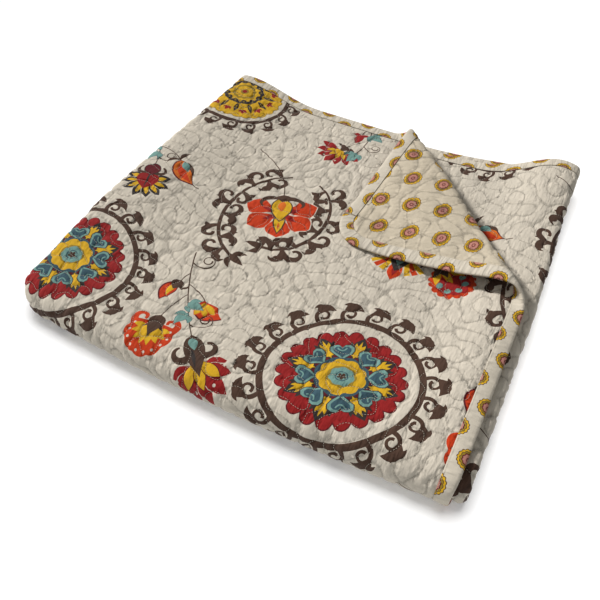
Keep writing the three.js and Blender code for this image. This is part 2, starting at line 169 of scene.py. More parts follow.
def eased(knots, at):
    """A value read from a table of (place, value), eased from each knot to the next."""
    value = np.full(np.shape(at), float(knots[0][1]))
    for (place, low), (next_place, high) in zip(knots, knots[1:]):
        share = smooth((at - place) / (next_place - place))
        value = np.where(at > place, low + share * (high - low), value)
    return value


def across_stack(u):
    """The place x across the stack and the height in it: straight panels and round turns."""
    left = (u - LEFT_TURN_AT) / LEFT_LOOP
    right = (u - RIGHT_TURN_AT) / RIGHT_LOOP
    top_x = TOP_END_X - u
    inner_x = RIGHT_LOOP_X - (u - INNER_AT)
    where = [u < LEFT_TURN_AT, u < MIDDLE_AT, u < RIGHT_TURN_AT, u < INNER_AT]
    x = np.select(
        where,
        [
            top_x,
            LEFT_LOOP_X - LEFT_LOOP * np.sin(left),
            LEFT_LOOP_X + u - MIDDLE_AT,
            RIGHT_LOOP_X + RIGHT_LOOP * np.sin(right),
        ],
        inner_x,
    )
    height = np.select(
        where,
        [
            eased(TOP_PANEL_HEIGHT, top_x),
            MIDDLE_HEIGHT + LEFT_LOOP * (1 + np.cos(left)),
            np.full(np.shape(u), MIDDLE_HEIGHT),
            MIDDLE_HEIGHT + RIGHT_LOOP * (1 - np.cos(right)),
        ],
        eased(INNER_PANEL_HEIGHT, inner_x),
    )
    return x, height


def stack_thickness(x):
    return eased(TOP_PANEL_HEIGHT, x) + THICKNESS / 2


def inner_radius(x):
    return FRONT_LOOP - stack_thickness(x)


def bend_centre(x):
    """The front edge's own line: it bulges in the middle and comes in at both ends."""
    return FRONT_EDGE + FRONT_LOOP - FRONT_BULGE * np.maximum(1 - (x / HALF_WIDTH) ** 2, 0) ** 1.5


def opened(x, y, z):
    """The layers' own looseness: the pitch opens by a bell-shaped share round each loose spot."""
    scale = 1 + 0.02 * np.sin(x / 52 + 0.6) * np.cos(y / 61 - 0.4)
    for spot_x, spot_y, reach, opening in LOOSE_SPOTS:
        squared = (x - spot_x) ** 2 + (y - spot_y) ** 2
        scale = scale + opening * np.exp(-squared / (2 * reach**2))
    return MIDDLE_HEIGHT + (z - MIDDLE_HEIGHT) * scale


def upper_height(x, y, height):
    """A layer of the upper half comes down on the lower half behind the front loop."""
    slack = 2 * inner_radius(x) - LAYER_GAP
    settled = slack * smooth((y - bend_centre(x)) / FRONT_SETTLE)
    return FRONT_LOOP + inner_radius(x) + height - settled


def corner_drawn_in(x, y, side, reach, radius):
    """A square corner in plan becomes a quarter disc. Side is -1 on the left, 1 on the right."""
    a = (side * x - (reach - radius)) / radius
    b = (FRONT_EDGE + radius - y) / radius
    inside = (a > 0) & (b > 0)
    across = a * np.sqrt(np.maximum(1 - b * b / 2, 0))
    along = b * np.sqrt(np.maximum(1 - a * a / 2, 0))
    drawn_x = side * (reach - radius + radius * across)
    drawn_y = FRONT_EDGE + radius - radius * along
    return np.where(inside, drawn_x, x), np.where(inside, drawn_y, y)


def rounded_plan(straight_x, y):
    """In plan, the left side bulges, the right side comes in towards the back, and both front
    corners are round."""
    x = straight_x - RIGHT_TAPER * smooth((straight_x - 90) / 236) * smooth((y + 60) / 360)
    x = x - eased(LEFT_BULGE, y) * smooth((60 - straight_x) / 360)
    x, y = corner_drawn_in(x, y, -1, HALF_WIDTH, PLAN_ROUND)
    return corner_drawn_in(x, y, 1, RIGHT_LOOP_REACH, NOSE_ROUND)


FOLD_LENGTH = np.hypot(*(FOLD_AT_SIDE - FOLD_AT_BACK))
FOLD_ALONG = (FOLD_AT_SIDE - FOLD_AT_BACK) / FOLD_LENGTH
FOLD_OUT = np.array([-FOLD_ALONG[1], FOLD_ALONG[0]])


def turned_back(x, y):
    """The corner rolls over its fold line on a half circle, then comes down on the top panel."""
    dx, dy = x - FOLD_AT_BACK[0], y - FOLD_AT_BACK[1]
    share = np.clip((dx * FOLD_ALONG[0] + dy * FOLD_ALONG[1]) / FOLD_LENGTH, 0, 1)
    out = dx * FOLD_OUT[0] + dy * FOLD_OUT[1] - FOLD_BOW * np.sin(np.pi * share)
    radius = ROLL_RADIUS_BACK + share * (ROLL_RADIUS_SIDE - ROLL_RADIUS_BACK)
    half = np.pi * radius
    resting = THICKNESS + FLAP_CLEARANCE
    settled = (2 * radius - resting) * smooth((out - half) / FLAP_SETTLE)
    past = out > half
    reach = np.where(past, FLAP_STRETCH * (half - out), radius * np.sin(out / radius))
    rise = np.where(past, 2 * radius - settled, radius * (1 - np.cos(out / radius)))
    shift = np.where(out > 0, reach - out, 0)
    slide = FLAP_SHEAR * np.maximum(out - half, 0)
    turned_x = x + FOLD_OUT[0] * shift + FOLD_ALONG[0] * slide
    turned_y = y + FOLD_OUT[1] * shift + FOLD_ALONG[1] * slide
    return turned_x, turned_y, np.where(out > 0, rise, 0)


# %% Where a point of the cloth lies: the whole fold
def bend_of(u):
    """A point's place across the stack, its radius at the front bend, and the bend's rows."""
    x, height = across_stack(u)
    radius = inner_radius(x) + height
    outer = FRONT_LOOP - THICKNESS / 2
    back = BACK_EDGE + eased(BACK_EDGE_SHIFT, u) + EDGE_SLIP * (outer - radius)
    start = back - bend_centre(x)
    return x, height, radius, back, start, start + eased(FRONT_LOOP_TAKES, u)


def mid_surface(u, v):
    """The middle of the cloth at (u, v): upper half, front bend or lower half of the stack."""
    x, height, radius, back, start, end = bend_of(u)
    on_top = u < LEFT_TURN_AT
    drag = smooth(1 - u / CORNER_DRAG_REACH) * smooth(1 - v / CORNER_DRAG_REACH)
    upper_x = x + np.where(on_top, CORNER_DRAG * drag, 0)
    upper_y = back - v
    turned_x, turned_y, rise = turned_back(upper_x, upper_y)
    turned = on_top & (rise > 0)
    upper_x = np.where(turned, turned_x, upper_x)
    upper_y = np.where(turned, turned_y, upper_y)
    upper_h = np.where(turned, eased(TOP_PANEL_HEIGHT, upper_x), height)
    upper_z = opened(upper_x, upper_y, upper_height(upper_x, upper_y, upper_h))
    upper_z = upper_z + np.where(turned, rise, 0)

    turn = np.pi * np.clip((v - start) / (end - start), 0, 1)
    bend_y = bend_centre(x) - radius * np.sin(turn)
    bend_z = opened(x, bend_y, FRONT_LOOP + radius * np.cos(turn))

    lower_y = bend_centre(x) + v - end
    lower_z = opened(x, lower_y, stack_thickness(x) - height)

    where = [v < start, v < end]
    flat_x = np.select(where, [upper_x, x], x)
    flat_y = np.select(where, [upper_y, bend_y], lower_y)
    z = np.select(where, [upper_z, bend_z], lower_z)
    plan_x, plan_y = rounded_plan(flat_x, flat_y)
    return np.stack([plan_x, plan_y, z], axis=-1)


SLOPE_STEP = 0.4


def cloth_frame(u, v):
    """The middle point with its unit directions along u, along v and out of the printed face."""
    u_low, u_high = np.maximum(u - SLOPE_STEP, 0), np.minimum(u + SLOPE_STEP, LENGTH)
    v_low, v_high = np.maximum(v - SLOPE_STEP, 0), np.minimum(v + SLOPE_STEP, WIDTH)
    along_u = mid_surface(u_high, v) - mid_surface(u_low, v)
    along_v = mid_surface(u, v_high) - mid_surface(u, v_low)
    out = np.cross(along_u, along_v)
    unit = [d / np.linalg.norm(d, axis=-1, keepdims=True) for d in (along_u, along_v, out)]
    return (mid_surface(u, v), *unit)


def cloth_box():
    """The folded cloth's own box in plan, from a grid of points half a thickness out."""
    u, v = np.meshgrid(np.linspace(0, LENGTH, 700), np.linspace(0, WIDTH, 500), indexing="ij")
    middle, _, _, out = cloth_frame(u, v)
    points = np.concatenate([middle + out * THICKNESS / 2, middle - out * THICKNESS / 2])
    points = points.reshape(-1, 3)
    return points.min(axis=0), points.max(axis=0)


own_low, own_high = cloth_box()
CAD_MIDDLE = (np.array(CAD_BOX[0]) + np.array(CAD_BOX[1])) / 2 / MM
PLACE = CAD_MIDDLE - (own_low + own_high) / 2
PLACE[2] = 0
print("the cloth is moved by", np.round(PLACE, 2), "mm to stand in the packed frame")
print("cloth box, mm:", np.round(own_low + PLACE, 1), np.round(own_high + PLACE, 1))

# %% [markdown]
# The quilting on the real throw is one wandering line, sewn so that neighbouring lines keep
# about the same distance. The zero line of a field of random waves, all nearly as long as each
# other, wanders in the same way. Where the field is far from zero the wadding stands up in a
# puff, and on its zero line the stitches pull the layers together.

# %% The quilting field
PUFF_PITCH = 34
PUFF_SPREAD = 0.1
PUFF_WAVES = 56
PUFF_DEPTH = 2.2
PUFF_TOP = 1.25
VALLEY_SOFTNESS = 0.05

waves = np.random.default_rng(11)
wave_turn = waves.uniform(0, 2 * np.pi, PUFF_WAVES)
wave_number = 2 * np.pi / PUFF_PITCH * waves.uniform(1 - PUFF_SPREAD, 1 + PUFF_SPREAD, PUFF_WAVES)
wave_start = waves.uniform(0, 2 * np.pi, PUFF_WAVES)


def quilting_field(u, v):
    """A sum of random waves, whose zero line is the stitch line: mean 0 and spread 1."""
    total = np.zeros(np.shape(u))
    for turn, number, start in zip(wave_turn, wave_number, wave_start):
        total += np.cos(number * (u * np.cos(turn) + v * np.sin(turn)) + start)
    return total * np.sqrt(2 / PUFF_WAVES)


def inset_at(u, v):
    """How far a point is from the edge of the cloth, whose corners are round."""
    from_u = np.minimum(u, LENGTH - u)
    from_v = np.minimum(v, WIDTH - v)
    corner = (from_u < CORNER_RADIUS) & (from_v < CORNER_RADIUS)
    to_centre = np.hypot(CORNER_RADIUS - from_u, CORNER_RADIUS - from_v)
    return np.where(corner, CORNER_RADIUS - to_centre, np.minimum(from_u, from_v))


RIM_INSET = 3.4
RIM_HALF = 1.2
SEAM_HALF = 1.5


def half_thickness(u, v):
    """A puff is a pillow: it falls from its top to the stitch line as a square, and the bound
    rim is thin."""
    field = np.sqrt(quilting_field(u, v) ** 2 + VALLEY_SOFTNESS**2)
    from_top = 1 - np.clip(field / PUFF_TOP, 0, 1)
    quilted = THICKNESS / 2 - PUFF_DEPTH * from_top**2
    inset = inset_at(u, v)
    out_of_seam = smooth((inset - BINDING_WIDTH - 0.5) / 4)
    sewn_down = SEAM_HALF + (quilted - SEAM_HALF) * out_of_seam
    in_rim = smooth((inset - RIM_INSET) / 1.5)
    rim = RIM_HALF * in_rim
    return np.where(inset < BINDING_WIDTH + 0.5, np.minimum(sewn_down, rim), sewn_down)


print("field spread:", quilting_field(*np.meshgrid(np.arange(0, 600, 3), np.arange(0, 600, 3))).std())

# %% [markdown]
# The stitch line itself is found by marching squares: on a grid of small cells, each cell side
# where the field changes sign holds one point of the line, and each cell joins its points. The
# points are then followed end to end, so that stitches can be laid along them later.

# %% Follow the stitch line
LINE_CELL = 4.0
VALLEY_STEP = 2.8


def zero_line_pieces(low_u, high_u, low_v, high_v):
    """Crossing points of the field on the sides of a grid's cells, and pairs of them to join."""
    u, v = np.meshgrid(
        np.arange(low_u, high_u, LINE_CELL), np.arange(low_v, high_v, LINE_CELL), indexing="ij"
    )
    field = quilting_field(u, v)
    cross_u = (field[1:] > 0) != (field[:-1] > 0)
    cross_v = (field[:, 1:] > 0) != (field[:, :-1] > 0)
    share_u = (field[:-1] / (field[:-1] - field[1:]))[cross_u]
    share_v = (field[:, :-1] / (field[:, :-1] - field[:, 1:]))[cross_v]
    on_u = np.stack([u[:-1][cross_u] + share_u * LINE_CELL, v[:-1][cross_u]], axis=1)
    on_v = np.stack([u[:, :-1][cross_v], v[:, :-1][cross_v] + share_v * LINE_CELL], axis=1)
    number_u = np.full(cross_u.shape, -1)
    number_v = np.full(cross_v.shape, -1)
    number_u[cross_u] = np.arange(len(on_u))
    number_v[cross_v] = len(on_u) + np.arange(len(on_v))
    sides = [number_u[:, :-1], number_v[1:], number_u[:, 1:], number_v[:-1]]
    around = np.stack(sides, axis=-1).reshape(-1, 4)
    crossings = (around >= 0).sum(axis=1)
    two = np.sort(around[crossings == 2], axis=1)[:, 2:]
    four = around[crossings == 4]
    return np.concatenate([on_u, on_v]), np.concatenate([two, four[:, :2], four[:, 2:]])


def followed(count, pairs):
    """Joins pairs of points end to end into lines, open lines first and then closed ones."""
    beside = [[] for _ in range(count)]
    for a, b in pairs.tolist():
        beside[a].append(b)
        beside[b].append(a)
    ends = [point for point in range(count) if len(beside[point]) == 1]
    seen = [False] * count
    lines = []
    for first in ends + list(range(count)):
        if seen[first]:
            continue
        line = [first]
        seen[first] = True
        onward = [point for point in beside[first] if not seen[point]]
        while onward:
            line.append(onward[0])
            seen[onward[0]] = True
            onward = [point for point in beside[line[-1]] if not seen[point]]
        lines.append(line)
    return lines


def respaced(line, step):
    """The same line with its points evenly spaced, about a step apart."""
    run = np.concatenate([[0], np.cumsum(np.hypot(*np.diff(line, axis=0).T))])
    count = max(int(round(run[-1] / step)), 1)
    at = np.linspace(0, run[-1], count + 1)
    return np.stack([np.interp(at, run, line[:, 0]), np.interp(at, run, line[:, 1])], axis=1)


def parts_where(line, test):
    """The parts of a line, as separate lines, where a test of its points holds."""
    good = test(line[:, 0], line[:, 1])
    cuts = np.flatnonzero(np.diff(good.astype(int))) + 1
    parts = zip(np.split(line, cuts), np.split(good, cuts))
    return [part for part, kept in parts if kept[0] and len(part) > 2]


line_points, line_pairs = zero_line_pieces(-8, LENGTH + 8, -8, WIDTH + 8)
stitch_lines = [
    respaced(line_points[line], VALLEY_STEP)
    for line in followed(len(line_points), line_pairs)
    if len(line) > 3
]
print(len(stitch_lines), "stitch lines,", sum(len(line) for line in stitch_lines), "points")

# %% [markdown]
# Most of the cloth is folded out of sight. A few tests say which parts of it show: the top, the
# front and the bottom, the turns at both sides, and the second layer under the turned-back
# corner. They decide where the print is drawn and where the meshes are fine.

# %% Which parts of the cloth show
CORNER_U = 317
CORNER_V = 331


def corner_share(u, v):
    """Below 1 on the turned-back corner of the top layer, and 1 on its fold line."""
    return u / CORNER_U + v / CORNER_V


def in_turns(u):
    near_left = (u > LEFT_TURN_AT - 8) & (u < MIDDLE_AT + 8)
    return near_left | ((u > RIGHT_TURN_AT - 8) & (u < INNER_AT + 8))


def in_bend(u, v):
    _, _, _, _, start, end = bend_of(u)
    return (v > start - 6) & (v < end + 6)


def top_shown(u, v):
    return (u < MIDDLE_AT + 6) & (v < 700) & (corner_share(u, v) >= 1)


def second_shown(u, v):
    """The second layer shows where the top layer's corner is turned back, and at its own turn."""
    across = u - INNER_AT
    return (across > -30) & (corner_share(across - 6, v) < 1.08) & (across < CORNER_U + 20)


# %% [markdown]
# The print is in the manner of old embroidered hangings: round medallions inside rings of
# scrolls, leafy wreaths between them, and sprays of flowers, buds and tendrils in the open
# places. Every motif comes from a few formulas. A curl is a curve whose heading turns faster and
# faster, a stem is a bowed line, a vine is part of an oval, and whatever grows on a stem or a vine
# sits at even steps. A band along such a curve makes stems, leaves, petals and scrolls, and a
# scalloped circle makes rosettes. Each drawing is a list of colours and closed outlines, painted
# one over another, with y up towards the back of the throw.

# %% Inks
def linear(red, green, blue):
    """A colour as seen on a screen, 0 to 255, made linear for the shader."""
    c = np.array([red, green, blue]) / 255
    return np.where(c <= 0.04045, c / 12.92, ((c + 0.055) / 1.055) ** 2.4)


INKS = {
    "ground": linear(222, 213, 196),
    "brown": linear(82, 60, 48),
    "dark": linear(58, 52, 50),
    "red": linear(156, 32, 32),
    "maroon": linear(104, 28, 36),
    "vermilion": linear(206, 62, 20),
    "orange": linear(220, 112, 34),
    "yellow": linear(226, 178, 36),
    "olive": linear(160, 134, 44),
    "teal": linear(122, 164, 156),
    "deep teal": linear(62, 92, 104),
}
DYE_DEPTH = 0.7
INKS = {name: colour * DYE_DEPTH for name, colour in INKS.items()}
INK_NAMES = list(INKS)

# %% Drawing tools
def band(axis, half):
    """The outline of a band along an axis: one side going out and the other coming back."""
    way = np.gradient(axis, axis=0)
    way /= np.maximum(np.linalg.norm(way, axis=1, keepdims=True), 1e-9)
    side = np.stack([-way[:, 1], way[:, 0]], axis=1) * np.reshape(half, (-1, 1))
    return np.concatenate([axis + side, (axis - side)[::-1]])


def swell(*halves, count=20):
    """The half width along a band, through even steps of the given values."""
    return np.interp(np.linspace(0, 1, count), np.linspace(0, 1, len(halves)), halves)


def bowed(start, end, bow=0.0, count=16):
    """A curve between two places, bowed to its left: bow * 4 t (1 - t) of its length."""
    start, end = np.asarray(start, float), np.asarray(end, float)
    t = np.linspace(0, 1, count)[:, None]
    along = end - start
    return start + along * t + np.array([-along[1], along[0]]) * bow * 4 * t * (1 - t)


def curling(length, turn, tighter=1.5, foot=(0, 0), heading=0.0, count=20):
    """A curl of a given length. Its heading, from upright to the left, is heading + turn t^tighter."""
    way = heading + turn * np.linspace(0, 1, count) ** tighter
    steps = np.stack([-np.sin(way), np.cos(way)], axis=1) * length / (count - 1)
    return np.asarray(foot, float) + np.cumsum(steps, axis=0) - steps[0]


def leaf(base, tip, width, bow=0.0, count=9, fullest=0.8):
    """A leaf or petal: a bowed axis, and a half width that rises and falls as a sine."""
    t = np.linspace(0, 1, count)
    return band(bowed(base, tip, bow, count), 0.04 + width / 2 * np.sin(np.pi * t**fullest))


def disc(x, y, radius, count=None):
    turn = np.linspace(0, 2 * np.pi, count or max(int(radius * 2.6), 9), endpoint=False)
    return np.stack([x + radius * np.cos(turn), y + radius * np.sin(turn)], axis=1)


def scalloped(radius, lobes, depth, per_lobe=6, turned=0.0, x=0, y=0):
    """A rosette: the radius less a share that is greatest between two lobes."""
    turn = np.linspace(0, 2 * np.pi, lobes * per_lobe, endpoint=False)
    reach = radius * (1 - depth * (1 - np.abs(np.cos(lobes * turn / 2)) ** 0.6))
    turn = turn + turned
    return np.stack([x + reach * np.cos(turn), y + reach * np.sin(turn)], axis=1)


def both(ink, outline):
    """An outline and its mirror image."""
    return [(ink, outline), (ink, outline * (-1, 1))]


def moved(drawing, x=0, y=0, turn=0.0, scale=1.0, mirrored=False):
    """A drawing turned, scaled, and then moved; mirrored first if asked."""
    cos, sin = np.cos(turn) * scale, np.sin(turn) * scale
    flip = np.array([-1, 1]) if mirrored else np.array([1, 1])
    matrix = np.array([[cos, sin], [-sin, cos]])
    return [(ink, (outline * flip) @ matrix + (x, y)) for ink, outline in drawing]


def ring_of(drawing, count, radius, turned=0.0):
    """Copies of an upright drawing set round a circle, each pointing outwards."""
    copies = []
    for k in range(count):
        turn = turned + 2 * np.pi * k / count
        copies += moved(drawing, -radius * np.sin(turn), radius * np.cos(turn), turn)
    return copies


def hung(axis, shoots, lean):
    """Drawings along an axis. Each has a share of its length, a side of it (1, -1, or 0 to go on
    along it) and a size, and leans away from the axis by the same angle."""
    way = np.gradient(axis, axis=0)
    drawing = []
    for share, side, shoot, size in shoots:
        k = round(share * (len(axis) - 1))
        turn = np.arctan2(way[k, 1], way[k, 0]) - np.pi / 2 + side * lean
        drawing += moved(shoot, *axis[k], turn, size, side < 0)
    return drawing


def stalked(drawing, length):
    """A drawing on a stalk that bends back towards what it grows from."""
    stalk = curling(length, -0.5, 1.2, count=12)
    return [("brown", band(stalk, 0.8))] + hung(stalk, [(1, 0, drawing, 1)], 0)


def heart(size):
    """A heart that points down, from the usual sine-cubed curve."""
    t = np.linspace(0, 2 * np.pi, 18, endpoint=False)
    x = np.sin(t) ** 3
    y = (13 * np.cos(t) - 5 * np.cos(2 * t) - 2 * np.cos(3 * t) - np.cos(4 * t)) / 16
    return np.stack([x, y], axis=1) * size / 2


# %% Medallions
RING_OUTER = 101
RING_INNER = 92.5
SCROLLS = 20
YELLOW_SCALE = 0.86


def scroll():
    """One scroll of a ring: a stem that arches over and curls in, under a pointed leaf."""
    return [
        ("brown", band(curling(54, -6.2, 1.7, (-7, -4), 0.5, 22), swell(3.2, 2.7, 1.9, 2.2, count=22))),
        ("brown", leaf((-8, 13), (18, 14), 15, 0.32, 10, 0.9)),
        ("brown", leaf((4, 18), (-10, 25), 9, -0.3, 8)),
        ("brown", leaf((2, 16), (13, 27), 8, 0.1, 7)),
    ]


def scroll_ring(count=SCROLLS):
    """The ring that both medallions share: scrolls outside a broad band."""
    return ring_of(scroll(), count, RING_OUTER - 1) + [
        ("brown", disc(0, 0, RING_OUTER, 100)),
        ("ground", disc(0, 0, RING_INNER, 90)),
    ]


def feather():
    """A yellow sprig with a dark surround, pointing up from the origin."""
    barbs = []
    for height, reach in ((8, 8), (15, 8), (21, 6)):
        barbs += both("yellow", leaf((0, height - 5), (-reach, height + 5), 5, 0.1, 6))
    return [
        ("dark", leaf((0, -3), (0, 37), 21, 0, 11, 1.0)),
        *both("dark", leaf((0, 12), (-13, 27), 8, 0.1, 7)),
        *barbs,
        ("yellow", leaf((0, -1), (0, 31), 6, 0, 8)),
    ]


def red_medallion():
    heart_leaf = [
        ("dark", heart(34)),
        ("teal", heart(31)),
        ("deep teal", heart(23)),
        ("teal", band(bowed((6, 6), (-6, 6), 0.4, 9), 0.9)),
    ]
    return (
        scroll_ring()
        + [("maroon", scalloped(80, 22, 0.1, 6)), ("red", scalloped(78.5, 22, 0.12, 6))]
        + [("maroon", scalloped(40, 16, 0.1, 5))]
        + ring_of(feather(), 8, 35)
        + ring_of(heart_leaf, 8, 44, np.pi / 8)
        + [
            ("deep teal", scalloped(34, 8, 0.1, 7)),
            ("yellow", scalloped(30.5, 9, 0.16, 7)),
            ("olive", scalloped(18.5, 9, 0.12, 5, 0.2)),
            ("teal", scalloped(16, 7, 0.16, 5)),
            ("deep teal", scalloped(8.5, 6, 0.1, 4)),
            ("teal", disc(0, 0, 7, 12)),
            ("brown", scalloped(6, 5, 0.5, 6)),
        ]
    )


def yellow_medallion():
    tulip = [
        ("red", leaf((0, 0), (0, 15), 9, 0, 7)),
        *both("red", leaf((0, 1), (-8, 10), 5, 0.15, 6)),
    ]
    blade = [
        ("dark", leaf((0, 0), (0, 28), 9, 0, 8)),
        ("olive", leaf((0, 6), (0, 18), 3, 0, 6)),
    ]
    beads = [("dark", disc(0, 0, 6.4, 9)), ("olive", disc(0, 0, 2, 7))]
    return moved(
        scroll_ring(18)
        + [("olive", scalloped(86, 26, 0.085, 5)), ("yellow", scalloped(84, 26, 0.085, 5))]
        + ring_of(tulip, 12, 58)
        + ring_of(blade, 12, 42, np.pi / 12)
        + [("dark", scalloped(42, 14, 0.12, 5)), ("yellow", disc(0, 0, 34, 36))]
        + ring_of(beads, 12, 35)
        + [
            ("olive", scalloped(25, 12, 0.14, 5)),
            ("yellow", scalloped(20, 10, 0.16, 5, 0.2)),
            ("olive", disc(0, 0, 9, 12)),
            ("red", scalloped(5.5, 6, 0.2, 4)),
        ],
        scale=YELLOW_SCALE,
    )


# %% Flowers
def petals(ink, turns, reach, width, foot=(0, 0), fullest=1.4, edge="ground"):
    """Petals that leave one foot at the given turns, each over a thin edge of another ink."""
    drawing = []
    for turn in turns:
        way = np.array([-np.sin(turn), np.cos(turn)])
        if edge:
            drawing.append((edge, leaf(foot, foot + way * (reach + 1.4), width + 2.4, 0, 10, fullest)))
        drawing.append((ink, leaf(foot, foot + way * reach, width, 0, 10, fullest)))
    return drawing


def fan(half, count):
    """Even turns from one side to the other."""
    return np.linspace(-half, half, count)


def dots(ink, radius, reach, turns, centre=(0, 0)):
    return [
        (ink, disc(centre[0] - reach * np.sin(turn), centre[1] + reach * np.cos(turn), radius, 8))
        for turn in turns
    ]


def crowned_flower():
    """A drooping flower: a dark cap, a jagged heart and a dotted rim that curls up beside it."""
    turns = fan(2.05, 55)
    reach = 37 * (1 - 0.1 * (1 - np.abs(np.cos(4.6 * turns)) ** 0.6))
    arc = np.stack([-reach * np.sin(turns), 32 + reach * np.cos(turns)], axis=1)
    return [
        ("vermilion", np.concatenate([arc, [(14, 8), (0, 2), (-14, 8)]])),
        *both("vermilion", band(curling(42, -4.2, 1.6, (29, 22), -2.5), swell(6, 4.4, 2.2))),
        *dots("ground", 2.1, 30, fan(1.9, 10), (0, 32)),
        *petals("yellow", fan(1.6, 8), 29, 10, (0, 24), 1.2, None),
        ("olive", leaf((0, 22), (0, 46), 5, 0, 8)),
        *both("brown", leaf((0, -3), (17, 24), 9, 0.16, 9)),
        ("brown", leaf((0, -4), (0, 38), 25, 0, 12, 0.62)),
    ]


def red_flower():
    """A long calyx with two curls and a teal drop, yellow petals, and dotted red petals."""
    return [
        *petals("red", fan(1.5, 2), 36, 19, (0, 48)),
        *petals("red", fan(1.0, 2), 44, 20, (0, 46)),
        *petals("red", fan(0.5, 3), 52, 19, (0, 48)),
        *dots("ground", 2.2, 33, fan(1.35, 4), (0, 48)),
        *both("brown", band(curling(44, -3.8, 1.4, (3, 30), -0.8), swell(5.5, 4, 1.8))),
        *petals("yellow", fan(0.62, 3), 40, 14, (0, 38), 1.3, "maroon"),
        ("brown", leaf((0, -3), (0, 62), 27, 0, 12, 0.7)),
        ("dark", leaf((3, 20), (3, 50), 5, 0, 8)),
        ("teal", leaf((0, 2), (0, 23), 12, 0, 9, 0.8)),
    ]


def dark_flower():
    """A round maroon head, a red body with two curls, and dark petals with yellow hearts."""
    return [
        *petals("dark", fan(2.0, 8), 38, 15, (0, 40)),
        *petals("yellow", fan(2.0, 8), 31, 7.5, (0, 40), 1.6, None),
        ("red", leaf((0, 14), (0, 60), 35, 0, 14, 0.9)),
        ("dark", leaf((0, 20), (0, 58), 3, 0, 8)),
        *both("brown", band(curling(30, -3.4, 1.3, (6, 20), -1.0), swell(3.4, 3, 1.6))),
        ("dark", disc(0, 12, 13.4, 18)),
        ("maroon", disc(0, 12, 12, 16)),
    ]


def fan_flower():
    """A flower seen from its side: a fan of petals, a yellow heart and a curled foot."""
    return [
        *petals("red", fan(1.55, 7), 42, 15, (0, 12)),
        *dots("ground", 1.9, 31, fan(1.3, 4), (0, 12)),
        *petals("yellow", fan(0.85, 4), 27, 8, (0, 8), 1.3, "maroon"),
        *both("brown", leaf((0, 10), (-19, -2), 9, 0.28, 9)),
        ("brown", leaf((0, 12), (0, -7), 12, 0, 8)),
    ]


def arched_flower():
    """A flower under a broad arch, with a petal of three stripes on each side of a red one."""
    striped = [("ground", band(curling(44, -0.2, 1, (8, 18), -0.45, 10), swell(8, 12, count=10)))]
    for ink, heading in (("yellow", -0.75), ("vermilion", -0.47), ("yellow", -0.19)):
        striped.append((ink, band(curling(42, -0.2, 1, (8, 18), heading, 10), swell(2.6, 4.5, count=10))))
    return [
        *petals("vermilion", (0,), 60, 22, (0, 14), 1.8, None),
        *petals("red", (0,), 50, 9, (0, 16), 1.8, None),
        *striped,
        *moved(striped, mirrored=True),
        *both("brown", band(curling(52, 1.7, 1, (0, 2), -1.7), swell(7, 8.5, 1))),
        ("dark", leaf((0, 10), (0, 56), 30, 0, 11, 0.7)),
        ("teal", leaf((0, 15), (0, 42), 19, 0, 10, 0.6)),
    ]


def dotted_flower():
    """A round flower that leans out of its calyx, with a scalloped rim and teal dots."""
    return [
        ("vermilion", scalloped(33, 16, 0.12, 4, 0.1, 0, 45)),
        ("red", scalloped(25, 10, 0.12, 4, 0, 0, 47)),
        *dots("teal", 5, 18, fan(1.7, 5), (0, 45)),
        *petals("yellow", fan(0.62, 3), 39, 11, (0, 8), 1.2, "vermilion"),
        *both("brown", leaf((0, 0), (21, 26), 10, 0.16, 9)),
        ("brown", leaf((0, -4), (0, 34), 22, 0, 11, 0.65)),
    ]


def bloom():
    """The large flower of a wreath: five wide petals round a tall yellow heart, and a curled cap."""
    return [
        *petals("vermilion", fan(1.9, 5), 57, 38, (0, 36), 1.8),
        *petals("red", fan(1.9, 5), 31, 8, (0, 36), 1.2, None),
        *both("brown", band(curling(48, 2.6, 2.6, (0, 2), -1.65), swell(3, 4.5, 4, 0.8))),
        ("dark", leaf((0, 26), (0, 86), 19, 0, 11, 1.0)),
        ("yellow", leaf((0, 26), (0, 83), 15, 0, 11, 1.0)),
        ("dark", leaf((0, -3), (0, 58), 34, 0, 13, 0.85)),
        ("yellow", leaf((0, -1), (0, 55), 30, 0, 13, 0.85)),
        ("orange", leaf((0, 8), (0, 34), 12, 0, 9)),
        ("orange", leaf((0, 60), (0, 76), 4, 0, 7)),
        ("brown", leaf((0, -7), (0, 9), 26, 0, 9)),
    ]


# %% Leaves, buds and wreaths
WREATH_HALF_WIDTH = 74
WREATH_HALF_HEIGHT = 97
ACROSS = np.pi / 2


def ivy():
    """A teal leaf with three lobes and a darker edge, pointing up from its foot."""
    drawing = []
    for ink, more in (("deep teal", 1.6), ("teal", 0)):
        drawing.append((ink, leaf((0, -more / 2), (0, 25 + more / 2), 13 + more, 0.04, 9, 0.8)))
        drawing += both(ink, leaf((0, 4), (13, 13 + more / 2), 8 + more, -0.2, 8))
    return drawing


def tendril():
    """A thin stem that winds into a spiral."""
    return [("brown", band(curling(84, 8.6, 1.8, count=34), swell(0.9, 0.6, 1.2, count=34)))]


def bud(inner="yellow"):
    """A closed bud with a dark cap and one small curl."""
    return [
        ("maroon", leaf((0, 0), (-4, 45), 23, 0.08, 12, 0.85)),
        ("vermilion", leaf((0, 2), (-4, 42), 19, 0.08, 12, 0.85)),
        (inner, leaf((0, 6), (-2, 32), 9, 0.08, 8)),
        ("brown", band(curling(19, -2.6, 1.3, (5, 8), -1.0, 9), swell(2.6, 2, 0.8, count=9))),
        ("brown", leaf((0, -5), (0, 17), 19, 0, 9, 0.75)),
    ]


def half_bud():
    """A bud that opens to one side: a pointed hood over a row of yellow petals."""
    return [
        ("maroon", leaf((0, -1), (-9, 42), 34, -0.2, 14, 0.9)),
        ("vermilion", leaf((0, 0), (-9, 40), 31, -0.2, 14, 0.9)),
        *petals("yellow", fan(0.5, 3) - 0.35, 27, 9, (1, 3), 1.3, "orange"),
    ]


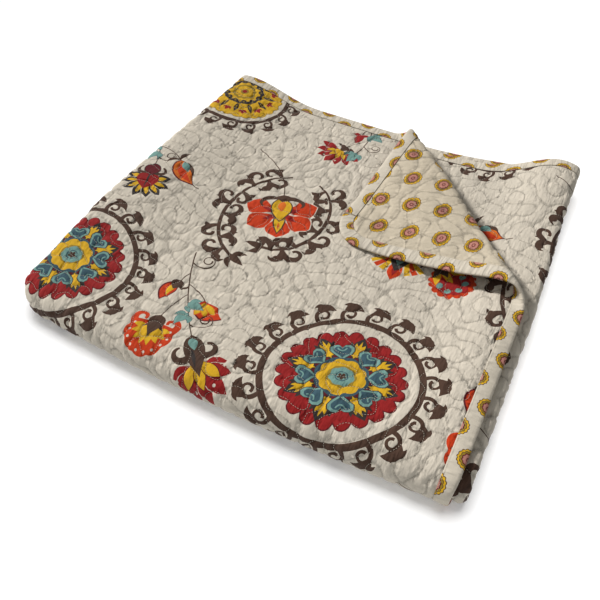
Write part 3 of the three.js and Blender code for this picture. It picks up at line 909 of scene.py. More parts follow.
def striped_bud():
    """A long bud with a teal heart and a thin tip, between two narrow leaves."""
    return [
        *both("brown", leaf((-1, 0), (23, -5), 7, -0.2, 10)),
        ("brown", band(curling(24, 1.0, 1.5, (4, 46), -0.3, 8), 0.8)),
        ("maroon", leaf((0, -1), (6, 58), 34, -0.1, 13, 0.8)),
        ("orange", leaf((0, 1), (6, 55), 30, -0.1, 13, 0.8)),
        ("vermilion", leaf((5, 8), (7, 52), 13, -0.1, 10)),
        ("brown", leaf((-7, 10), (-2, 40), 7, 0.1, 8)),
        ("teal", leaf((-2, 7), (0, 29), 13, 0, 10)),
    ]


def small_bud():
    return [
        ("red", leaf((0, -2), (0, 25), 16, 0, 9, 0.8)),
        *both("red", leaf((0, 6), (-16, 0), 8, 0.2, 8)),
    ]


def vine_arm():
    """A side shoot of a vine: a stalk that parts into a fat curl and a hooked leaf."""
    return [
        ("brown", band(curling(62, 5.0, 1.9), swell(3, 5.4, 3.4, 2.4))),
        ("brown", band(curling(42, -3.2, 1.8), swell(2.5, 6, 5, 0.6))),
        ("brown", leaf((-1, 14), (-3, 29), 7, 0.2, 7)),
        ("brown", leaf((8, 14), (19, 24), 7, -0.2, 7)),
    ]


def vine_hook():
    """A shorter shoot: one curl, thick in the middle, with a small leaf on its back."""
    return [
        ("brown", band(curling(54, -4.8, 1.9), swell(2.8, 5.6, 3.4, 2.4))),
        ("brown", leaf((1, 12), (-9, 21), 8, -0.2, 7)),
        ("brown", leaf((7, 17), (10, 27), 6, 0.1, 7)),
    ]


def vine_tip():
    return [
        ("brown", leaf((0, -5), (0, 19), 9, 0, 8)),
        *both("brown", leaf((0, 0), (13, 11), 7, -0.2, 7)),
    ]


def vine(side, spread, shoots):
    """Half of an oval from the top to the foot. Its reach changes with the square of its length,
    so that one vine opens outwards at the foot and the other curls inwards."""
    t = np.linspace(0, 1, 60)
    turn = np.pi * (0.1 + 0.84 * t)
    reach = 1 + spread * t**2
    axis = np.stack([
        side * WREATH_HALF_WIDTH * np.sin(turn) * reach,
        WREATH_HALF_HEIGHT * np.cos(turn) * reach,
    ], axis=1)
    arm, hook = vine_arm(), vine_hook()
    grown = [
        (share, 1 if k % 2 else -1, hook if k % 3 == 0 else arm, 0.95)
        for k, share in enumerate(np.linspace(0.08, 0.92, shoots))
    ]
    return (
        [("brown", band(axis, swell(1.4, 3.0, 2.6, count=60)))]
        + hung(axis, grown, ACROSS)
        + hung(axis, [(1, 0, vine_tip(), 1.3)], ACROSS)
    )


def wreath():
    """Two vines round a bloom, which hangs on a thin stem."""
    stem = bowed((-WREATH_HALF_WIDTH * 1.4, WREATH_HALF_HEIGHT * 1.35), (-12, 40), 0.12, 22)
    return (
        vine(-1, 0.14, 9)
        + vine(1, -0.24, 9)
        + [("brown", band(stem, 0.8))]
        + hung(stem, [(1, 0, bloom(), 0.98)], ACROSS)
    )


# %% Sprays
LEAN = np.radians(52)


def spray(start, end, bow, hangers):
    """A bowed stem with drawings at even steps, on one side and then on the other. The last goes
    on along it. Each hanger has a drawing, the length of its stalk and a size."""
    axis = bowed(start, end, bow, 40)
    shoots = []
    for k, (drawing, stalk, size) in enumerate(hangers):
        last = k == len(hangers) - 1
        if stalk:
            drawing = stalked(drawing, stalk)
        shoots.append(((k + 1) / len(hangers), 0 if last else (1, -1)[k % 2], drawing, size))
    return [("brown", band(axis, swell(1, 0.7, count=40)))] + hung(axis, shoots, LEAN)


def tall_spray():
    """The spray between two red medallions: two flowers, buds, leaves and tendrils."""
    return spray((-62, 112), (18, -28), -0.06, [
        (tendril(), 0, 1), (bud(), 22, 1), (half_bud(), 40, 1), (crowned_flower(), 62, 0.9),
        (ivy(), 0, 1), (ivy(), 0, 1), (tendril(), 0, 1), (red_flower(), 0, 1),
    ])


def small_spray():
    """The spray between two yellow medallions: a red flower, a bud, leaves and a tendril."""
    return spray((10, 78), (38, -38), 0.12, [
        (ivy(), 0, 1.1), (small_bud(), 30, 1), (ivy(), 0, 1.1), (fan_flower(), 48, 0.95),
        (tendril(), 0, 0.9), (ivy(), 0, 1.15),
    ])


def side_spray():
    """A dark flower with yellow petals, a striped bud and leaves."""
    return spray((-72, 66), (-8, -14), 0.1, [
        (ivy(), 0, 1.1), (ivy(), 14, 1.1), (striped_bud(), 52, 1), (ivy(), 0, 1.1),
        (tendril(), 0, 0.9), (dark_flower(), 0, 1),
    ])


def pair_spray():
    """Two flowers, a bud and leaves."""
    return spray((-14, 88), (34, 6), -0.08, [
        (ivy(), 0, 1.2), (arched_flower(), 44, 0.94), (bud("red"), 34, 1), (ivy(), 0, 1.2),
        (tendril(), 0, 0.9), (dotted_flower(), 0, 1),
    ])


# %% Where the motifs lie on the cloth
COLUMN_STEP = 421.5
ROW_STEP = 238
FIRST_U = 170
FIRST_V = 50
PRINT_U = 2 * COLUMN_STEP
PRINT_V = 4 * ROW_STEP
PRINT_DRIFT = 112
PRINT_DRIFT_U = 12
DRIFT_FROM = MIDDLE_AT + 20
DRIFT_OVER = 540

REPEAT = []
for column, side_motif in enumerate((pair_spray(), side_spray())):
    on = FIRST_U + COLUMN_STEP * column
    between = on + COLUMN_STEP / 2
    REPEAT += [
        (yellow_medallion(), on, FIRST_V),
        (small_spray(), between, FIRST_V),
        (wreath(), between, FIRST_V + ROW_STEP),
        (side_motif, on, FIRST_V + ROW_STEP),
        (red_medallion(), on, FIRST_V + ROW_STEP * 2),
        (tall_spray(), between, FIRST_V + ROW_STEP * 2),
        (wreath(), between, FIRST_V + ROW_STEP * 3),
        (side_motif, on, FIRST_V + ROW_STEP * 3),
    ]


def on_cloth(drawing, u, v):
    """A drawing laid on the cloth: its y runs towards the back edge, where v is 0. The print
    drifts across the cloth where it is folded away, so that the lower layers show other parts."""
    laid = []
    for ink, outline in drawing:
        at_u = u - outline[:, 0]
        drift = smooth((at_u - DRIFT_FROM) / DRIFT_OVER)
        laid.append((ink, np.stack([
            at_u - PRINT_DRIFT_U * drift,
            v - outline[:, 1] - PRINT_DRIFT * drift,
        ], axis=1)))
    return laid


def print_shown(u, v):
    """Where the printed face can be seen: the top, front and bottom, the turns, the corner."""
    return (u < MIDDLE_AT + 15) | second_shown(u, v) | in_turns(u)


def lay_print():
    """Every motif of the repeat, laid wherever part of it is seen."""
    laid = []
    for step_u in range(-1, 5):
        for step_v in range(-1, 2):
            for drawing, u, v in REPEAT:
                for ink, outline in on_cloth(drawing, u + PRINT_U * step_u, v + PRINT_V * step_v):
                    inside = inset_at(outline[:, 0], outline[:, 1]) > RIM_INSET
                    if (inside & print_shown(outline[:, 0], outline[:, 1])).any():
                        laid.append((ink, outline))
    return laid


def painted(places, laid):
    """The number of the last ink laid over each place, by counting each outline's crossings."""
    ink_at = np.zeros(len(places), dtype=int)
    order = np.argsort(places[:, 0])
    ordered = places[order, 0]
    for ink, outline in laid:
        low, high = outline.min(axis=0), outline.max(axis=0)
        near = order[np.searchsorted(ordered, low[0]):np.searchsorted(ordered, high[0])]
        near = near[(places[near, 1] > low[1]) & (places[near, 1] < high[1])]
        if not len(near):
            continue
        u, v = places[near, :1], places[near, 1:]
        u0, v0 = outline[:, 0][None], outline[:, 1][None]
        u1, v1 = np.roll(u0, -1, axis=1), np.roll(v0, -1, axis=1)
        spans = (v0 > v) != (v1 > v)
        level = np.where(v1 == v0, 1.0, v1 - v0)
        crossed = spans & (u < u0 + (v - v0) * (u1 - u0) / level)
        ink_at[near[crossed.sum(axis=1) % 2 == 1]] = INK_NAMES.index(ink)
    return ink_at


print_outlines = lay_print()
print(len(print_outlines), "outlines with", sum(len(o) for _, o in print_outlines), "points")
print_lines = [np.vstack([outline, outline[:1]]) for _, outline in print_outlines]

# %% [markdown]
# The cloth's meshes are made flat, in the cloth's own coordinates, by a triangulation that
# keeps given lines as edges. The stitch lines and the outlines of the print are such lines, so
# each valley of the quilting and each edge of the print is as sharp as on the real cloth. The
# grid between them is fine where the cloth shows and coarse where it is folded away.

# %% Flat triangulation of the cloth
FINE = 4.0
SHOWN_UNDER = 8.0
HIDDEN = 14.0
BEND_ROW = 3.5
TURN_ROW = 3.5
# Each zone is a test and the spacing of its grid along u and along v. The first that fits holds.
FACE_ZONES = [
    (top_shown, FINE, FINE),
    (second_shown, FINE, FINE),
    (lambda u, v: (u < LEFT_TURN_AT) & (corner_share(u, v) < 1), SHOWN_UNDER, SHOWN_UNDER),
    (lambda u, v: in_turns(u) & in_bend(u, v), TURN_ROW, BEND_ROW),
    (lambda u, v: in_turns(u), TURN_ROW, SHOWN_UNDER),
    (in_bend, HIDDEN, BEND_ROW),
    (lambda u, v: (u < LEFT_TURN_AT) & (v > 700), SHOWN_UNDER, SHOWN_UNDER),
    (lambda u, v: u > -1, HIDDEN, HIDDEN),
]
REVERSE_ZONES = [
    (lambda u, v: (u < LEFT_TURN_AT) & (corner_share(u, v) < 1.35), FINE, FINE),
    (lambda u, v: in_turns(u) & in_bend(u, v), TURN_ROW, BEND_ROW),
    (lambda u, v: in_turns(u), TURN_ROW, HIDDEN),
    (in_bend, HIDDEN, BEND_ROW),
    (lambda u, v: u > -1, HIDDEN, HIDDEN),
]
INSIDE_ZONES = [
    (lambda u, v: (u < LEFT_TURN_AT) & (corner_share(u, v) < 1.2), 11.0, 11.0),
    (lambda u, v: in_turns(u) & in_bend(u, v), 5.0, 5.0),
    (lambda u, v: in_turns(u), 5.0, 30.0),
    (in_bend, 30.0, 5.0),
    (lambda u, v: u > -1, 30.0, 30.0),
]
EDGE_MARGIN = 1.5
CROWDED = 1.25


def inside_border(u, v):
    return inset_at(u, v) > RIM_INSET + EDGE_MARGIN


def zone_grid(zones):
    """Points of every zone's own grid, each second row moved along by half a step."""
    kept = []
    for place, (_, step_u, step_v) in enumerate(zones):
        columns = np.arange(step_u, LENGTH, step_u)
        u, v = np.meshgrid(columns, np.arange(step_v, WIDTH, step_v), indexing="ij")
        u = u + np.where(np.arange(u.shape[1]) % 2, step_u / 2, 0)
        u, v = u.ravel(), v.ravel()
        first = np.select([test(u, v) for test, _, _ in zones], range(len(zones)), len(zones))
        keep = (first == place) & inside_border(u, v)
        kept.append(np.stack([u[keep], v[keep]], axis=1))
    return np.concatenate(kept)


def uncrowded(points, lines):
    """Leaves out the grid points that lie within about a cell of a kept line."""
    samples = np.concatenate([respaced(line, CROWDED * 0.6) for line in lines])
    near = np.zeros((int(LENGTH / CROWDED) + 4, int(WIDTH / CROWDED) + 4), dtype=bool)
    cells = np.clip((samples / CROWDED).astype(int) + 1, 1, np.array(near.shape) - 2)
    for across in (-1, 0, 1):
        for along in (-1, 0, 1):
            near[cells[:, 0] + across, cells[:, 1] + along] = True
    own = np.clip((points / CROWDED).astype(int) + 1, 0, np.array(near.shape) - 1)
    return points[~near[own[:, 0], own[:, 1]]]


def rounded_border(inset, step):
    """The cloth's outline at an inset: straight sides and round corners, as one closed line."""
    radius = CORNER_RADIUS - inset
    turns = np.linspace(0, np.pi / 2, max(int(radius * np.pi / 2 / step), 3))
    centres = [
        (LENGTH - CORNER_RADIUS, CORNER_RADIUS, -np.pi / 2),
        (LENGTH - CORNER_RADIUS, WIDTH - CORNER_RADIUS, 0),
        (CORNER_RADIUS, WIDTH - CORNER_RADIUS, np.pi / 2),
        (CORNER_RADIUS, CORNER_RADIUS, np.pi),
    ]
    arcs = [
        np.stack([u + radius * np.cos(turns + from_turn), v + radius * np.sin(turns + from_turn)], 1)
        for u, v, from_turn in centres
    ]
    line = []
    for arc, onward in zip(arcs, arcs[1:] + arcs[:1]):
        side = respaced(np.array([arc[-1], onward[0]]), step)
        line += [arc, side[1:-1]]
    return np.concatenate(line)


BORDER = np.float32(rounded_border(RIM_INSET, 7.0)).astype(float)


def triangulated(zones, lines):
    """A flat triangulation of the cloth with the border and the given lines as edges."""
    runs = [run for line in lines for run in parts_where(line, inside_border)]
    grid = zone_grid(zones)
    if runs:
        grid = uncrowded(grid, runs)
    points = np.concatenate([BORDER, *runs, grid])
    around = np.arange(len(BORDER))
    edges = [np.stack([around, np.roll(around, -1)], axis=1)]
    first = len(BORDER)
    for run in runs:
        numbers = first + np.arange(len(run))
        edges.append(np.stack([numbers[:-1], numbers[1:]], axis=1))
        first += len(run)
    places, _, faces, *_ = delaunay_2d_cdt(
        [Vector(point) for point in points.tolist()],
        np.concatenate(edges).tolist(),
        [],
        0,
        0.001,
        False,
    )
    places = np.array([place[:] for place in places], dtype=float)
    faces = np.array(faces)
    a, b, c = (places[faces[:, k]] for k in range(3))
    area = (b[:, 0] - a[:, 0]) * (c[:, 1] - a[:, 1]) - (b[:, 1] - a[:, 1]) * (c[:, 0] - a[:, 0])
    faces[area < 0] = faces[area < 0][:, ::-1]
    return places, faces


# %% From flat triangles to a cloth in the stack
INSIDE_GAP = 0.05
FIELD_STEP = 0.35
MESH_SLOPE_SHARE = 1.5
FLOOR_CLEARANCE = 0.05


def make_object(name, points, faces, normals=None, stiff=1):
    """A mesh object at the origin, from millimetre points in the stack, shaded smooth.

    What would be under the floor is flattened against it: each point by itself, or each run of
    stiff points as one, as for a stitch.
    """
    runs = points.reshape(-1, stiff, 3).copy()
    runs[:, :, 2] += np.maximum(FLOOR_CLEARANCE - runs[:, :, 2].min(axis=1, keepdims=True), 0)
    points = runs.reshape(-1, 3)
    mesh = bpy.data.meshes.new(name)
    mesh.from_pydata(((points + PLACE) * MM).tolist(), [], faces.tolist())
    mesh.polygons.foreach_set("use_smooth", np.ones(len(faces), dtype=bool))
    if normals is not None:
        mesh.normals_split_custom_set_from_vertices(normals.tolist())
    piece = bpy.data.objects.new(name, mesh)
    bpy.context.scene.collection.objects.link(piece)
    triangles = sum(len(polygon.vertices) - 2 for polygon in mesh.polygons)
    print(f"{name}: {len(points)} points, {triangles} triangles")
    return piece


def set_uv(piece, places):
    """A UV map with a pair of numbers for each vertex, given to all its corners."""
    corner = np.empty(len(piece.data.loops), dtype=int)
    piece.data.loops.foreach_get("vertex_index", corner)
    layer = piece.data.uv_layers.new(name="cloth")
    layer.data.foreach_set("uv", np.float32(places[corner]).ravel())


def set_values(piece, name, values):
    attribute = piece.data.attributes.new(name, "FLOAT", "POINT")
    attribute.data.foreach_set("value", np.float32(values))


def relief(u, v, side):
    """Points of one side of the quilt and their outward directions, from the puffs' slopes."""
    middle, along_u, along_v, out = cloth_frame(u, v)
    half = np.maximum(half_thickness(u, v), INSIDE_GAP)
    rise_u = half_thickness(u + FIELD_STEP, v) - half_thickness(u - FIELD_STEP, v)
    rise_v = half_thickness(u, v + FIELD_STEP) - half_thickness(u, v - FIELD_STEP)
    slope = (along_u * rise_u[:, None] + along_v * rise_v[:, None]) / (2 * FIELD_STEP)
    normal = side * out - slope * MESH_SLOPE_SHARE
    points = middle + side * out * half[:, None]
    return points, normal / np.linalg.norm(normal, axis=1, keepdims=True)


def cloth_shell(name, zones, lines, side):
    """One side of the quilt as a closed shell: the quilted outside, and a plain inside."""
    places, faces = triangulated(zones, lines)
    inner_places, inner_faces = triangulated(INSIDE_ZONES, [])
    points, normals = relief(places[:, 0], places[:, 1], side)
    middle, _, _, out = cloth_frame(inner_places[:, 0], inner_places[:, 1])
    inner_points = middle + side * out * INSIDE_GAP

    def key(at):
        grid = np.round(at * 20).astype(np.int64)
        return grid[:, 0] * 1_000_000 + grid[:, 1]

    on_border = inset_at(inner_places[:, 0], inner_places[:, 1]) < RIM_INSET + 0.5
    outer_keys = key(places)
    order = np.argsort(outer_keys)
    slots = np.searchsorted(outer_keys[order], key(inner_places[on_border]))
    shared = order[np.minimum(slots, len(order) - 1)]
    matched = outer_keys[shared] == key(inner_places[on_border])
    number = np.empty(len(inner_places), dtype=int)
    number[~on_border] = len(places) + np.arange((~on_border).sum())
    number[on_border] = shared
    print(f"{name}: {matched.sum()} of {on_border.sum()} border points joined")
    all_points = np.concatenate([points, inner_points[~on_border]])
    all_normals = np.concatenate([normals, -side * out[~on_border]])
    outer = faces if side > 0 else faces[:, ::-1]
    inner = number[inner_faces]
    inner = inner[:, ::-1] if side > 0 else inner
    all_faces = np.concatenate([outer, inner])
    piece = make_object(name, all_points, all_faces, all_normals)
    all_places = np.concatenate([places, inner_places[~on_border]])
    set_uv(piece, all_places * MM)
    set_values(piece, "quilting", quilting_field(all_places[:, 0], all_places[:, 1]))
    return piece, all_places, all_faces


def face_sewn(u, v):
    return top_shown(u, v) | second_shown(u, v) | (in_turns(u) & ~in_bend(u, v))


def reverse_sewn(u, v):
    return (u < LEFT_TURN_AT) & (corner_share(u, v) < 1.3)


face_lines = [part for line in stitch_lines for part in parts_where(line, face_sewn)]
reverse_lines = [part for line in stitch_lines for part in parts_where(line, reverse_sewn)]

# %% [markdown]
# The quilt is two closed shells that lie back to back: the printed face with its half of the
# wadding, and the backing with the other half. Each is the folded surface moved out along its
# own direction by the height of the puffs.

# %% Make the face and the backing
face, face_places, face_faces = cloth_shell("Printed_Face", FACE_ZONES, face_lines + print_lines, 1)
backing, _, _ = cloth_shell("Backing", REVERSE_ZONES, reverse_lines, -1)

# %% [markdown]
# The binding is a strip of cloth, folded over the raw edge and sewn through both
# sides. Here it is a profile carried round the edge: out over the face, round the edge, back
# along the reverse, and inside again, with a shallow dip where the seam holds it down.

# %% Make the binding
BINDING_STEP = 3.5
BINDING_PUCKERS = 12
BINDING_PUCKER_RISE = 0.09
BINDING_PROFILE = np.array([
    [20.0, 1.9],
    [19.3, 2.5],
    [18.2, 2.15],
    [16.8, 2.6],
    [13.0, 2.8],
    [8.0, 2.85],
    [4.0, 2.7],
    [1.4, 2.1],
    [0.25, 1.1],
    [0.0, 0.0],
])
BINDING_LINING = np.array([[19.6, 1.72], [10.0, 1.72], [2.6, 1.6]])
SIDE_U = LENGTH - 2 * CORNER_RADIUS
SIDE_V = WIDTH - 2 * CORNER_RADIUS
QUARTER = CORNER_RADIUS * np.pi / 2
EDGE_LENGTH = 2 * (SIDE_U + SIDE_V) + 4 * QUARTER


def edge_place(s, inset):
    """Cloth coordinates at a distance s round the outer edge and an inset from it."""
    far_u, far_v, r = LENGTH - CORNER_RADIUS, WIDTH - CORNER_RADIUS, CORNER_RADIUS
    ends = np.cumsum([SIDE_U, QUARTER, SIDE_V, QUARTER, SIDE_U, QUARTER, SIDE_V, QUARTER])
    where = [s < end for end in ends[:-1]]
    begun = [s - begin for begin in np.concatenate([[0], ends[:-1]])]

    def arc(u, v, run, from_turn):
        turn = from_turn + run / CORNER_RADIUS
        return u + (r - inset) * np.cos(turn), v + (r - inset) * np.sin(turn)

    arcs = [
        arc(far_u, r, begun[1], -np.pi / 2),
        arc(far_u, far_v, begun[3], 0),
        arc(r, far_v, begun[5], np.pi / 2),
        arc(r, r, begun[7], np.pi),
    ]
    u = np.select(
        where,
        [r + begun[0], arcs[0][0], LENGTH - inset, arcs[1][0], far_u - begun[4], arcs[2][0], inset],
        arcs[3][0],
    )
    v = np.select(
        where,
        [inset, arcs[0][1], r + begun[2], arcs[1][1], WIDTH - inset, arcs[2][1], far_v - begun[6]],
        arcs[3][1],
    )
    return u, v


def binding_section():
    """The strip's closed section as insets, offsets and the distance across the cut strip."""
    mirror = np.array([1, -1])
    outside = np.concatenate([BINDING_PROFILE, BINDING_PROFILE[-2::-1] * mirror])
    lining = np.concatenate([BINDING_LINING * mirror, BINDING_LINING[::-1]])
    section = np.concatenate([outside, lining])
    run = np.concatenate([[0], np.cumsum(np.hypot(*np.diff(outside, axis=0).T))])
    return section, np.concatenate([run, np.full(len(lining), run[-1] / 2)]), len(outside)


def tube(rings, around):
    """Triangles of a closed tube from rings of points, which are numbered ring by ring."""
    ring, point = np.meshgrid(np.arange(rings), np.arange(around), indexing="ij")
    onward, beside = (ring + 1) % rings, (point + 1) % around
    a, b = ring * around + point, onward * around + point
    c, d = onward * around + beside, ring * around + beside
    return np.concatenate([np.stack([a, c, b], -1), np.stack([a, d, c], -1)]).reshape(-1, 3)


section, strip_run, shown_points = binding_section()
ring_count = int(EDGE_LENGTH / BINDING_STEP)
ring_at = np.arange(ring_count) * EDGE_LENGTH / ring_count
s_grid, k_grid = np.meshgrid(ring_at, np.arange(len(section)), indexing="ij")
pucker_rng = np.random.default_rng(5)
pucker = np.zeros(ring_count)
for length in pucker_rng.uniform(9, 24, BINDING_PUCKERS):
    rounds = np.round(EDGE_LENGTH / length)
    pucker += np.sin(2 * np.pi * rounds * ring_at / EDGE_LENGTH + pucker_rng.uniform(0, 6.3))
pucker = BINDING_PUCKER_RISE * pucker
insets, offsets = section[k_grid, 0], section[k_grid, 1]
puffed = (np.abs(offsets) > 2.3) & (insets < 18)
offsets = offsets + np.where(puffed, np.sign(offsets) * (pucker[:, None] - 0.1), 0)
binding_u, binding_v = edge_place(s_grid, insets)
middle, _, _, out = cloth_frame(binding_u.ravel(), binding_v.ravel())
binding_points = middle + out * offsets.ravel()[:, None]
binding = make_object("Binding_Strip", binding_points, tube(ring_count, len(section)))
binding_places = np.stack([s_grid.ravel(), strip_run[k_grid].ravel()], axis=1)
set_uv(binding, binding_places * MM)

# %% [markdown]
# The stitches are thread that dips into the cloth at each end. Each one is a small spindle, laid
# along the stitch line and half sunk in its valley, with a gap to the next one.

# %% Lay the stitches
STITCH_LENGTH = 2.7
STITCH_PITCH = 3.3
THREAD_RADIUS = 0.2
STITCH_LIFT = 0.12
STITCH_DIP = 0.45
STITCH_POINTS = 10
SEAM_INSET = 18.2
SEAM_HEIGHT = 2.15


def stitch_mesh(name, lines, side, height):
    """Spindles along lines: two rings of four points and two ends, all found as arrays."""
    runs = [respaced(line, STITCH_PITCH) for line in lines if len(line) > 2]
    middles = np.concatenate([(run[1:] + run[:-1]) / 2 for run in runs])
    ways = np.concatenate([np.diff(run, axis=0) for run in runs])
    ways /= np.linalg.norm(ways, axis=1, keepdims=True)
    sound = inset_at(*middles.T) > 0
    middles, ways = middles[sound], ways[sound]
    centre, along_u, along_v, out = cloth_frame(middles[:, 0], middles[:, 1])
    out = out * side
    centre = centre + out * (height(middles[:, 0], middles[:, 1]) + STITCH_LIFT)[:, None]
    way = along_u * ways[:, :1] + along_v * ways[:, 1:]
    way /= np.linalg.norm(way, axis=1, keepdims=True)
    beside = np.cross(out, way)
    turns = np.arange(4) * np.pi / 2 + np.pi / 4
    ring = (
        beside[:, None] * np.cos(turns)[None, :, None] + out[:, None] * np.sin(turns)[None, :, None]
    ) * THREAD_RADIUS
    reach = way * STITCH_LENGTH / 2
    tip = out * STITCH_DIP
    points = np.concatenate(
        [
            (centre - reach - tip)[:, None],
            (centre - reach * 0.55)[:, None] + ring,
            (centre + reach * 0.55)[:, None] + ring,
            (centre + reach - tip)[:, None],
        ],
        axis=1,
    )
    around = np.arange(4)
    onward = (around + 1) % 4
    template = np.concatenate([
        np.stack([np.zeros(4, int), onward + 1, around + 1], 1),
        np.stack([around + 1, onward + 1, onward + 5], 1),
        np.stack([around + 1, onward + 5, around + 5], 1),
        np.stack([around + 5, onward + 5, np.full(4, 9)], 1),
    ])
    first = STITCH_POINTS * np.arange(len(points))[:, None, None]
    faces = (template + first).reshape(-1, 3)
    return make_object(name, points.reshape(-1, 3), faces, None, STITCH_POINTS)


def clear_of_binding(u, v):
    return inset_at(u, v) > BINDING_WIDTH + 2


def in_the_open(lines):
    return [part for line in lines for part in parts_where(line, clear_of_binding)]


face_thread = stitch_mesh("Face_Stitches", in_the_open(face_lines), 1, half_thickness)
backing_thread = stitch_mesh("Backing_Stitches", in_the_open(reverse_lines), -1, half_thickness)


def seam_height(u, v):
    return np.full(np.shape(u), SEAM_HEIGHT)


seam_at = np.linspace(0, EDGE_LENGTH, int(EDGE_LENGTH / STITCH_PITCH))
seam_line = np.stack(edge_place(seam_at[:-1], np.full(len(seam_at) - 1, SEAM_INSET)), axis=1)
binding_thread = [
    stitch_mesh("Binding_Stitches_Face", [seam_line], 1, seam_height),
    stitch_mesh("Binding_Stitches_Back", [seam_line], -1, seam_height),
]

# %% [markdown]
# The face is woven cotton with the print in its threads, so its colour comes from the inks
# that were laid on the mesh's faces, a little uneven as ink on cloth is. The weave is two sets
# of fine waves across each other, and short puckers run into the stitch lines. All of it
# follows the cloth's own coordinates, so it bends and folds with the cloth.

# %% Node helpers
def new_finish(name):
    finish = bpy.data.materials.new(name)
    finish.use_nodes = True
    tree = finish.node_tree
    return finish, tree, tree.nodes["Principled BSDF"]


def add_node(tree, kind, inputs=None, **settings):
    """A node of a kind with its settings; an input is a number, a colour or a node's output."""
    node = tree.nodes.new(kind)
    for setting, value in settings.items():
        setattr(node, setting, value)
    for name, value in (inputs or {}).items():
        if isinstance(value, bpy.types.NodeSocket):
            tree.links.new(value, node.inputs[name])
        else:
            node.inputs[name].default_value = value
    return node


def maths(tree, operation, a, b=0.0, c=0.0):
    """One step of arithmetic on sockets or numbers."""
    return add_node(tree, "ShaderNodeMath", {0: a, 1: b, 2: c}, operation=operation).outputs[0]


def mixed(tree, share, a, b, blend="MIX"):
    """Colour a mixed with colour b by a share."""
    node = tree.nodes.new("ShaderNodeMix")
    node.data_type = "RGBA"
    node.blend_type = blend
    for socket, value in ((node.inputs[0], share), (node.inputs[6], a), (node.inputs[7], b)):
        if isinstance(value, bpy.types.NodeSocket):
            tree.links.new(value, socket)
        else:
            socket.default_value = value
    return node.outputs[2]


def noise(tree, vector, scale, detail=2.0, roughness=0.5):
    inputs = {"Vector": vector, "Scale": scale, "Detail": detail, "Roughness": roughness}
    return add_node(tree, "ShaderNodeTexNoise", inputs).outputs["Fac"]


def bump(tree, height, distance, strength, normal=None):
    inputs = {"Height": height, "Distance": distance, "Strength": strength}
    if normal is not None:
        inputs["Normal"] = normal
    return add_node(tree, "ShaderNodeBump", inputs).outputs["Normal"]


def ranged(tree, value, low, high, to_low, to_high):
    inputs = {0: value, 1: low, 2: high, 3: to_low, 4: to_high}
    return add_node(tree, "ShaderNodeMapRange", inputs).outputs[0]


# %% Cotton, with its weave and its puckers
THREADS_PER_METRE = 1900
PUCKER_SCALE = 210
PUCKER_DEPTH = 3.2 * MM
# Painted shade in the creases: its darkest grey level on a stitch line, and how far in the field it fades
# out.
CREASE_SHADE = 0.62
CREASE_SHADE_REACH = 0.3
PATCH_SHARE = 0.6
SLUB_DEPTH = 0.4 * MM
WEAVE_DEPTH = 0.15 * MM


def cloth_vector(tree, stretch=(1, 1, 1)):
    uv = add_node(tree, "ShaderNodeUVMap", uv_map="cloth").outputs["UV"]
    return add_node(tree, "ShaderNodeMapping", {"Vector": uv, "Scale": stretch}).outputs["Vector"]


def weave_height(tree):
    """Two fine sets of waves across each other, each dying out where the other is on top."""
    split = add_node(tree, "ShaderNodeSeparateXYZ", {"Vector": cloth_vector(tree)})
    turn = 2 * np.pi * THREADS_PER_METRE / 2
    along = maths(tree, "SINE", maths(tree, "MULTIPLY", split.outputs["X"], turn))
    across = maths(tree, "SINE", maths(tree, "MULTIPLY", split.outputs["Y"], turn))
    return maths(tree, "MULTIPLY", along, across)


def stitch_distance(tree):
    """The quilting field without its sign: 0 on the stitch line, about 1 on top of a puff."""
    field = add_node(tree, "ShaderNodeAttribute", attribute_name="quilting").outputs["Fac"]
    return maths(tree, "ABSOLUTE", field)


def shaded(tree, colour, level):
    """A colour times a grey level."""
    grey = add_node(tree, "ShaderNodeCombineColor", {0: level, 1: level, 2: level}).outputs[0]
    return mixed(tree, 1.0, colour, grey, "MULTIPLY")


def shaded_creases(tree, colour):
    """Painted shade: the cloth's colour is made darker in its creases, along the stitch lines, where shade
    falls.
    """
    level = ranged(tree, stitch_distance(tree), 0.0, CREASE_SHADE_REACH, CREASE_SHADE, 1.0)
    return shaded(tree, colour, level)


def cotton_normal(tree, puckers):
    """Puckers near the stitches or gathers along the strip, slubs, and the weave over all."""
    if puckers:
        field = stitch_distance(tree)
        near = ranged(tree, field, 0.0, 1.1, 1.0, 0.5)
        creases = noise(tree, cloth_vector(tree, (1, 0.32, 1)), PUCKER_SCALE, 2.5, 0.55)
        normal = bump(tree, maths(tree, "MULTIPLY", creases, near), PUCKER_DEPTH, 1.0)
    else:
        gathers = noise(tree, cloth_vector(tree, (1, 0.2, 1)), 150, 2.0, 0.5)
        normal = bump(tree, gathers, PUCKER_DEPTH, 1.0)
    slub = maths(
        tree, "ADD",
        noise(tree, cloth_vector(tree, (60, 900, 1)), 1.0, 2.0),
        noise(tree, cloth_vector(tree, (900, 60, 1)), 1.0, 2.0),
    )
    normal = bump(tree, slub, SLUB_DEPTH, 0.5, normal)
    return bump(tree, weave_height(tree), WEAVE_DEPTH, 0.35, normal)


def uneven(tree, colour, strength=0.12):
    """Cloth colour with soft patches and fine threads that are lighter and darker."""
    patches = noise(tree, cloth_vector(tree), 26, 3.0, 0.6)
    threads = noise(tree, cloth_vector(tree, (140, 1200, 1)), 1.0, 2.0)
    patch_share = maths(tree, "MULTIPLY", patches, PATCH_SHARE)
    shade = maths(tree, "MULTIPLY_ADD", threads, 1 - PATCH_SHARE, patch_share)
    return shaded(tree, colour, ranged(tree, shade, 0.3, 0.7, 1 - strength, 1 + strength / 3))


def set_input(node, **values):
    for name, value in values.items():
        node.inputs[name.replace("_", " ")].default_value = value


